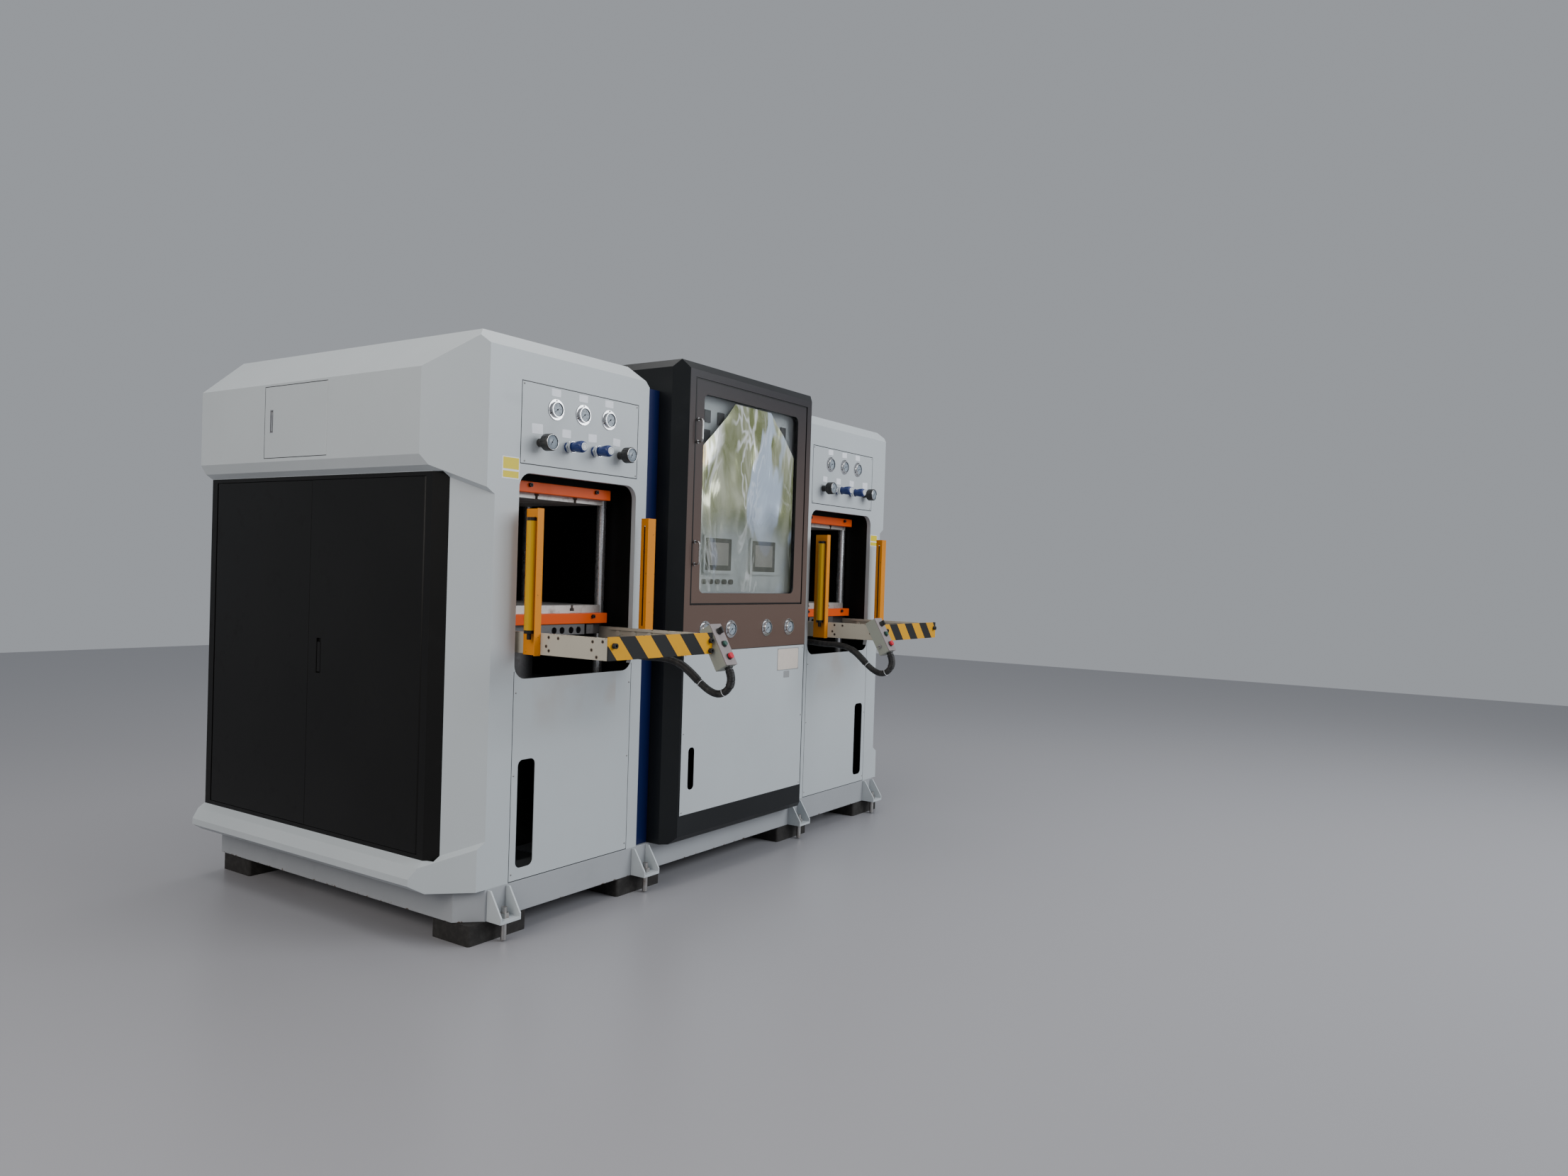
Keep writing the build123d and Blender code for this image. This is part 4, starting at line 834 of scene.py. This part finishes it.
# %% Knob faces and collars
knob_height = 1992
knob_places = [-8 + (i - 1.5) * 160 for i in range(4)]
for hand, side in (("left", -1), ("right", 1)):
    for i, local in enumerate(knob_places):
        x = across(side, local)
        body = f"{hand}_knob_{i + 1}"
        cap, ink, metal = bmesh.new(), bmesh.new(), bmesh.new()
        if i in (0, 3):
            disc(cap, 0.0295, 0.0005, -0.0005, 40, facing_front(x, -72.4, knob_height))
            for k in range(13):
                tick(ink, x, -73.1, knob_height, math.radians(-120 + k * 20), 0.0245, (0.0011, 0.004, 0.0003))
            tick(ink, x, -73.6, knob_height, math.radians(-150), 0, (0.0016, 0.030, 0.0006))
            turned_shape(ink, [(0, 0.002), (0.003, 0.002), (0.0035, 0), (0, 0)], 16,
                         facing_front(x, -73, knob_height))
            turned_shape(metal, [(0.0296, 0.0015), (0.0308, 0.0022), (0.0318, 0.0012), (0.0318, -0.001),
                                 (0.0296, -0.001), (0.0296, 0.0015)], 48, facing_front(x, -75.0, knob_height))
            from_bmesh(f"{body}_bezel", metal, chrome, body)
            from_bmesh(f"{body}_cap", cap, dial_white, body)
            from_bmesh(f"{body}_marks", ink, ink_and_slot_shade, body, smooth=False)
        else:
            turned_shape(cap, [(0, 0.0002), (0.012, 0.0002), (0.0165, 0.0009), (0.0172, -0.0005), (0, -0.0005)], 40,
                         facing_front(x, -96.4, knob_height))
            ring(ink, 0.0105, 0.0006, 36, facing_front(x, -96.8, knob_height))
            turned_shape(metal, [(0.0225, 0.0), (0.026, 0.001), (0.026, 0.011), (0.0225, 0.012), (0.0225, 0.0)], 6,
                         facing_front(x, -10, knob_height))
            turned_shape(metal, [(0.0223, 0.0), (0.0245, 0.0), (0.0245, 0.009), (0.0235, 0.010), (0.0223, 0.010),
                                 (0.0223, 0.0)], 36, facing_front(x, -24, knob_height))
            from_bmesh(f"{body}_collar", metal, chrome, body, smooth=False)
            from_bmesh(f"{body}_cap", cap, white_plastic, body)
            from_bmesh(f"{body}_marks", ink, grey_plastic, body, smooth=False)

# %% [markdown]
# ## Stickers, plates and screws
# Plain paper stickers sit above each gauge and knob, slightly crooked. Beside each work opening is a blank label with
# two yellow fields, and a blank sheet-metal plate is fixed to the cabinet. A sticker is a thin box with bevelled
# corners. The cover plates are held by pan-head screws with a cross slot: a turned head with the cross laid in it as
# two dark bars, which are painted shade for the recess of the slot. The rear panels have a row of plain heads down
# each side.

# %% Stickers
sticker_white = mottled("sticker_white", (0.90, 0.91, 0.96), (0.80, 0.82, 0.88), 18.0, 0.4, 0.8, Roughness=0.45)
label_yellow = plastic("label_yellow", (0.78, 0.62, 0.005), 0.4, 0.1)
tin_plate = plastic("tin_plate", (0.70, 0.62, 0.55), 0.35, 0.15)


def sticker(bm, x, y, z, width, height, turn=0.0, thick=0.0004, corner=0.003):
    """A flat plate with rounded corners that lies on a front face."""
    place = facing_front(x, y, z, turn) @ Matrix.Translation((0, 0, thick / 2))
    verts = bar(bm, (width / 1000, height / 1000, thick), place)
    short = dict.fromkeys(e for v in verts for e in v.link_edges if abs(e.calc_length() - thick) < 1e-6)
    bmesh.ops.bevel(bm, geom=list(short), offset=corner, segments=3, profile=0.5, affect="EDGES", material=-1)


random.seed(5)
paper = bmesh.new()
for side in (-1, 1):
    for local in gauge_places:
        sticker(paper, across(side, local), 0, 2209, 52, 30, math.radians(random.uniform(-2, 2)))
    for local, width, height in ((-262, 60, 40), (-97, 50, 34), (58, 50, 34), (210, 46, 32)):
        sticker(paper, across(side, local), 0, 2048, width, height, math.radians(random.uniform(-3, 3)))
from_bmesh("stickers", paper, sticker_white, smooth=False)

label_backs, label_faces = bmesh.new(), bmesh.new()
for x, z, tall in ((-1497, 1876, 88), (1495, 1716, 70)):
    sticker(label_backs, x, 0, z, 90, tall)
    for rise, share in ((0.20, 0.52), (-0.30, 0.30)):
        sticker(label_faces, x, -0.4, z + tall * rise, 82, tall * share, 0.0, 0.0002, 0.001)
from_bmesh("blank_labels", label_backs, sticker_white, smooth=False)
from_bmesh("blank_label_faces", label_faces, label_yellow, smooth=False)

plate, plate_line = bmesh.new(), bmesh.new()
sticker(plate_line, 367, -122, 1035, 205, 118, 0.0, 0.0008, 0.002)
sticker(plate, 367, -122.8, 1035, 197, 110, 0.0, 0.0003, 0.002)
sticker(plate_line, 356, -122, 953, 56, 36, 0.0, 0.0003, 0.004)
from_bmesh("blank_plate", plate, tin_plate, smooth=False)
from_bmesh("blank_plate_edge", plate_line, grey_plastic, smooth=False)


# %% Screws
def screw(heads, slots, x, y, z, radius=4.0):
    r = radius / 1000
    turned_shape(heads, [(0, r * 0.55), (r * 0.6, r * 0.5), (r * 0.92, r * 0.22), (r, 0), (0, 0)], 16,
                 facing_front(x, y, z))
    turn = random.uniform(0, math.pi)
    # The cross is two dark bars: painted shade in the slot.
    for quarter in (0, math.pi / 2):
        bar(slots, (r * 1.1, r * 0.22, r * 0.16), facing_front(x, y - radius * 0.52, z, turn + quarter))


gauge_plate_screws = [(-328, 1911), (340, 1911), (-338, 2221), (338, 2221)]
lower_panel_screws = [(local, z) for local in (-338, 338) for z in (240, 640, 975)]
heads, slots = bmesh.new(), bmesh.new()
for side in (-1, 1):
    for local, z in gauge_plate_screws + lower_panel_screws:
        screw(heads, slots, across(side, local), 0, z)
for x in (-508, 508):
    for z in (352, 722, 1092):
        screw(heads, slots, x, -122, z)
for x, z in ((272, 1087), (462, 1087), (272, 983), (462, 983)):
    screw(heads, slots, x, -123.1, z, 2.4)
from_bmesh("panel_screws", heads, bare_steel)
from_bmesh("panel_screw_slots", slots, ink_and_slot_shade, smooth=False)

rear_heads = bmesh.new()
rear_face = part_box("rear_panels")[1][1]
for side in (-1, 1):
    for x in (side * (station - 0.398), side * (station + 0.612)):
        for i in range(6):
            place = Matrix.Translation((x, rear_face, 0.27 + i * 0.37)) @ Matrix.Rotation(-math.pi / 2, 4, "X")
            turned_shape(rear_heads, [(0, 0.0024), (0.0024, 0.0022), (0.0037, 0.001), (0.004, 0), (0, 0)], 16, place)
from_bmesh("rear_panel_screws", rear_heads, bare_steel)

# %% [markdown]
# ## The arms' holes
# The arms were drilled for fittings of other moulds, so their outer faces show open and filled holes with rust round
# them. Each is a shallow countersunk ring with a dark middle, set on the face and turned to look out along X; in an
# open hole the dark middle is painted shade.

# %% Holes in the arms
rusty = mottled("rusty_edge", (0.10, 0.05, 0.028), (0.34, 0.28, 0.21), 260.0, 0.35, 0.7, Metallic=0.2, Roughness=0.8)
dark_hole = plastic("dark_hole", (0.008, 0.007, 0.006), 0.8, 0.02)


def facing_side(x, y, z, side):
    return Matrix.Translation(at(x, y, z)) @ Matrix.Rotation(side * math.pi / 2, 4, "Y")


arm_holes = ((-162, 1209), (-214, 1208), (-149, 1173), (-164, 1156), (-398, 1206), (-450, 1209), (-393, 1174),
             (-420, 1148))
arm_face = 324
collars, middles = bmesh.new(), bmesh.new()
for centre in (-1000 * station, 1000 * station):
    for side in (-1, 1):
        for y, z in arm_holes:
            place = facing_side(centre + side * arm_face, y, z, side)
            turned_shape(collars, [(0.0044, 0.0002), (0.0062, 0.0006), (0.0072, 0.0), (0.0044, 0.0), (0.0044, 0.0002)],
                         20, place)
            # The dark disc is painted shade inside the hole.
            disc(middles, 0.0045, 0.0002, 0.0, 20, place)
from_bmesh("arm_hole_edges", collars, rusty)
from_bmesh("arm_hole_middles", middles, dark_hole)

# %% [markdown]
# ## The two touch screens
# Behind the window two touch screens are set in the panel. Each has a pale frame with rounded corners, a dark
# bezel, and a beige-grey screen that is off. A plate's outline is made with the sticker's helper, thicker each time.

# %% Screens
screen_glass = mottled("screen_glass", (0.36, 0.33, 0.29), (0.28, 0.26, 0.24), 8.0, 0.3, 0.8, detail=3.0,
                       Roughness=0.12, Coat_Weight=1.0)
surrounds, bezels, screens = bmesh.new(), bmesh.new(), bmesh.new()
for x in (-215, 175):
    sticker(surrounds, x, -62, 1575, 232, 190, 0.0, 0.0105, 0.012)
    sticker(bezels, x, -72, 1575, 206, 158, 0.0, 0.0030, 0.004)
    sticker(screens, x, -74.6, 1577, 158, 112, 0.0, 0.0012, 0.002)
from_bmesh("screen_surrounds", surrounds, panel_grey, smooth=False)
from_bmesh("screen_bezels", bezels, black_plastic, smooth=False)
from_bmesh("screens", screens, screen_glass, smooth=False)

# %% [markdown]
# ## The window film
# A clear protective film still clings to the front of the cabinet's window. It bulges and wrinkles, and that is what
# catches the light. It is a flat grid of many faces with two corners cut off, pushed out by a few broad waves. Its
# colours stand for what it mirrors: leaves, a patch of sky, something ochre, and bright streaks along the folds. It
# grows clearer towards the bottom, where the screens show through.

# %% Film
film, tree, shader = new_material("clear_film", Metallic=0.45, Coat_Weight=0.6)
spot = object_place(tree)
stretched = vector_maths(tree, "MULTIPLY", spot, Vector((2.8, 0.0, 1.0)))


def flow(scale, detail, distortion, shift=0.0):
    moved = vector_maths(tree, "ADD", stretched, Vector((shift, 0, shift)))
    inputs = {"Vector": moved, "Scale": scale, "Detail": detail, "Distortion": distortion}
    return add(tree, "ShaderNodeTexNoise", inputs).outputs["Fac"]


def around(x, z, reach, strength):
    """Falls from that strength at a point of the film to 0 at the reach."""
    off = vector_maths(tree, "SUBTRACT", spot, at(x, -100, z))
    flat = vector_maths(tree, "MULTIPLY", off, Vector((1.5, 0, 1)))
    far = add(tree, "ShaderNodeVectorMath", {0: flat}, operation="LENGTH").outputs["Value"]
    return times(tree, ramp(tree, far, reach, 0.0), strength)


leaves = blend_colour(tree, ramp(tree, flow(2.4, 4.0, 1.6), 0.35, 0.65), (0.24, 0.27, 0.10, 1), (0.62, 0.64, 0.46, 1))
sky = plus(tree, flow(1.6, 2.0, 1.2, 3.1), around(70, 1900, 0.36, 0.34))
tinted = blend_colour(tree, ramp(tree, sky, 0.62, 0.66), leaves, (0.70, 0.82, 0.98, 1))
ochre = plus(tree, flow(1.5, 2.0, 1.5, 7.7), around(-390, 2060, 0.22, 0.30))
tinted = blend_colour(tree, ramp(tree, ochre, 0.66, 0.72), tinted, (0.80, 0.58, 0.22, 1))
folds = flow(2.0, 2.0, 2.6, 1.3)
off_fold = absolute(tree, minus(tree, folds, 0.5))
streaks = minus(tree, 1.0, times(tree, off_fold, 16.0, True), True)
streaks = times(tree, streaks, ramp(tree, flow(1.7, 1.0, 0.5, 5.0), 0.40, 0.62))
tinted = blend_colour(tree, times(tree, streaks, 0.8), tinted, (0.95, 0.97, 1.0, 1))
height = split(tree, spot)[2]
upper = ramp(tree, plus(tree, height, times(tree, flow(1.6, 2.0, 1.0, 9.0), 0.30)), 1.80, 1.98)
solid = plus(tree, 0.12, times(tree, upper, 0.72))
feed(shader, Base_Color=tinted, Roughness=plus(tree, 0.12, times(tree, folds, 0.10)),
     Alpha=plus(tree, solid, times(tree, streaks, 0.4), True))
bump(shader, folds, 0.35, 0.010)

film_wide, film_tall = 0.80, 0.93
sheet_bm = bmesh.new()
bmesh.ops.create_grid(sheet_bm, x_segments=80, y_segments=96, size=0.5)
bmesh.ops.transform(sheet_bm, matrix=Matrix.Diagonal((film_wide, film_tall, 1, 1)), verts=sheet_bm.verts)
for side, cut_start in ((-1, -0.14), (1, 0.17)):
    bmesh.ops.bisect_plane(sheet_bm, geom=sheet_bm.verts[:] + sheet_bm.edges[:] + sheet_bm.faces[:],
                           plane_co=(cut_start, film_tall / 2, 0), plane_no=(side * 0.68, 0.73, 0), clear_outer=True)
for vert in sheet_bm.verts:
    x, y = vert.co.x, vert.co.y
    edge = min(1.0, 14 * min(film_wide / 2 + 0.002 - abs(x), film_tall / 2 + 0.002 - abs(y)))
    wave = math.sin(9 * x + 4 * math.sin(6 * y)) * math.cos(8 * y + 3 * math.sin(9 * x))
    fine = math.sin(31 * x + 9 * y) * math.sin(23 * y - 12 * x)
    vert.co.z = 0.0005 + max(0.0, edge) * (0.0065 + 0.0048 * wave + 0.0012 * fine)
bmesh.ops.transform(sheet_bm, matrix=facing_front(-11, -103.6, 1857.5), verts=sheet_bm.verts)
from_bmesh("window_film", sheet_bm, film, "cabinet_door")

# %% [markdown]
# ## Floor and light
# The machine stands on a plain pale floor. The light is soft: a broad cool panel in front, as from the hall's
# windows, a warmer one from the left, a faint one above, and a dim sky all round.

# %% Floor
floor_bm = bmesh.new()
bmesh.ops.create_grid(floor_bm, x_segments=1, y_segments=1, size=14)
floor_mesh = bpy.data.meshes.new("floor")
floor_bm.to_mesh(floor_mesh)
floor_bm.free()
floor = bpy.data.objects.new("floor", floor_mesh)
scene.collection.objects.link(floor)
floor_paint, *_ = new_material("floor_paint", Roughness=0.35, Base_Color=(0.34, 0.335, 0.355, 1))
floor_mesh.materials.append(floor_paint)


# %% Lights
def panel_light(name, place, aim, size, power, colour):
    data = bpy.data.lights.new(name, "AREA")
    data.shape = "RECTANGLE"
    data.size, data.size_y = size
    data.energy = power
    data.color = colour
    lamp = bpy.data.objects.new(name, data)
    lamp.location = place
    lamp.rotation_euler = (Vector(aim) - Vector(place)).to_track_quat("-Z", "Y").to_euler()
    scene.collection.objects.link(lamp)


panel_light("front_panel", (2.5, -7.5, 4.5), (0.3, 0, 1.2), (7, 4), 500, (0.93, 0.97, 1.0))
panel_light("left_panel", (-7.5, -1.0, 4.5), (-1, 0, 1.2), (5, 4), 240, (1.0, 0.95, 0.88))
panel_light("top_panel", (0, 0.5, 6.5), (0, 0, 0), (7, 5), 200, (1.0, 0.99, 0.97))
world = bpy.data.worlds.new("sky")
scene.world = world
world.use_nodes = True
world.node_tree.nodes["Background"].inputs[0].default_value = (0.80, 0.84, 0.90, 1)
world.node_tree.nodes["Background"].inputs[1].default_value = 0.42
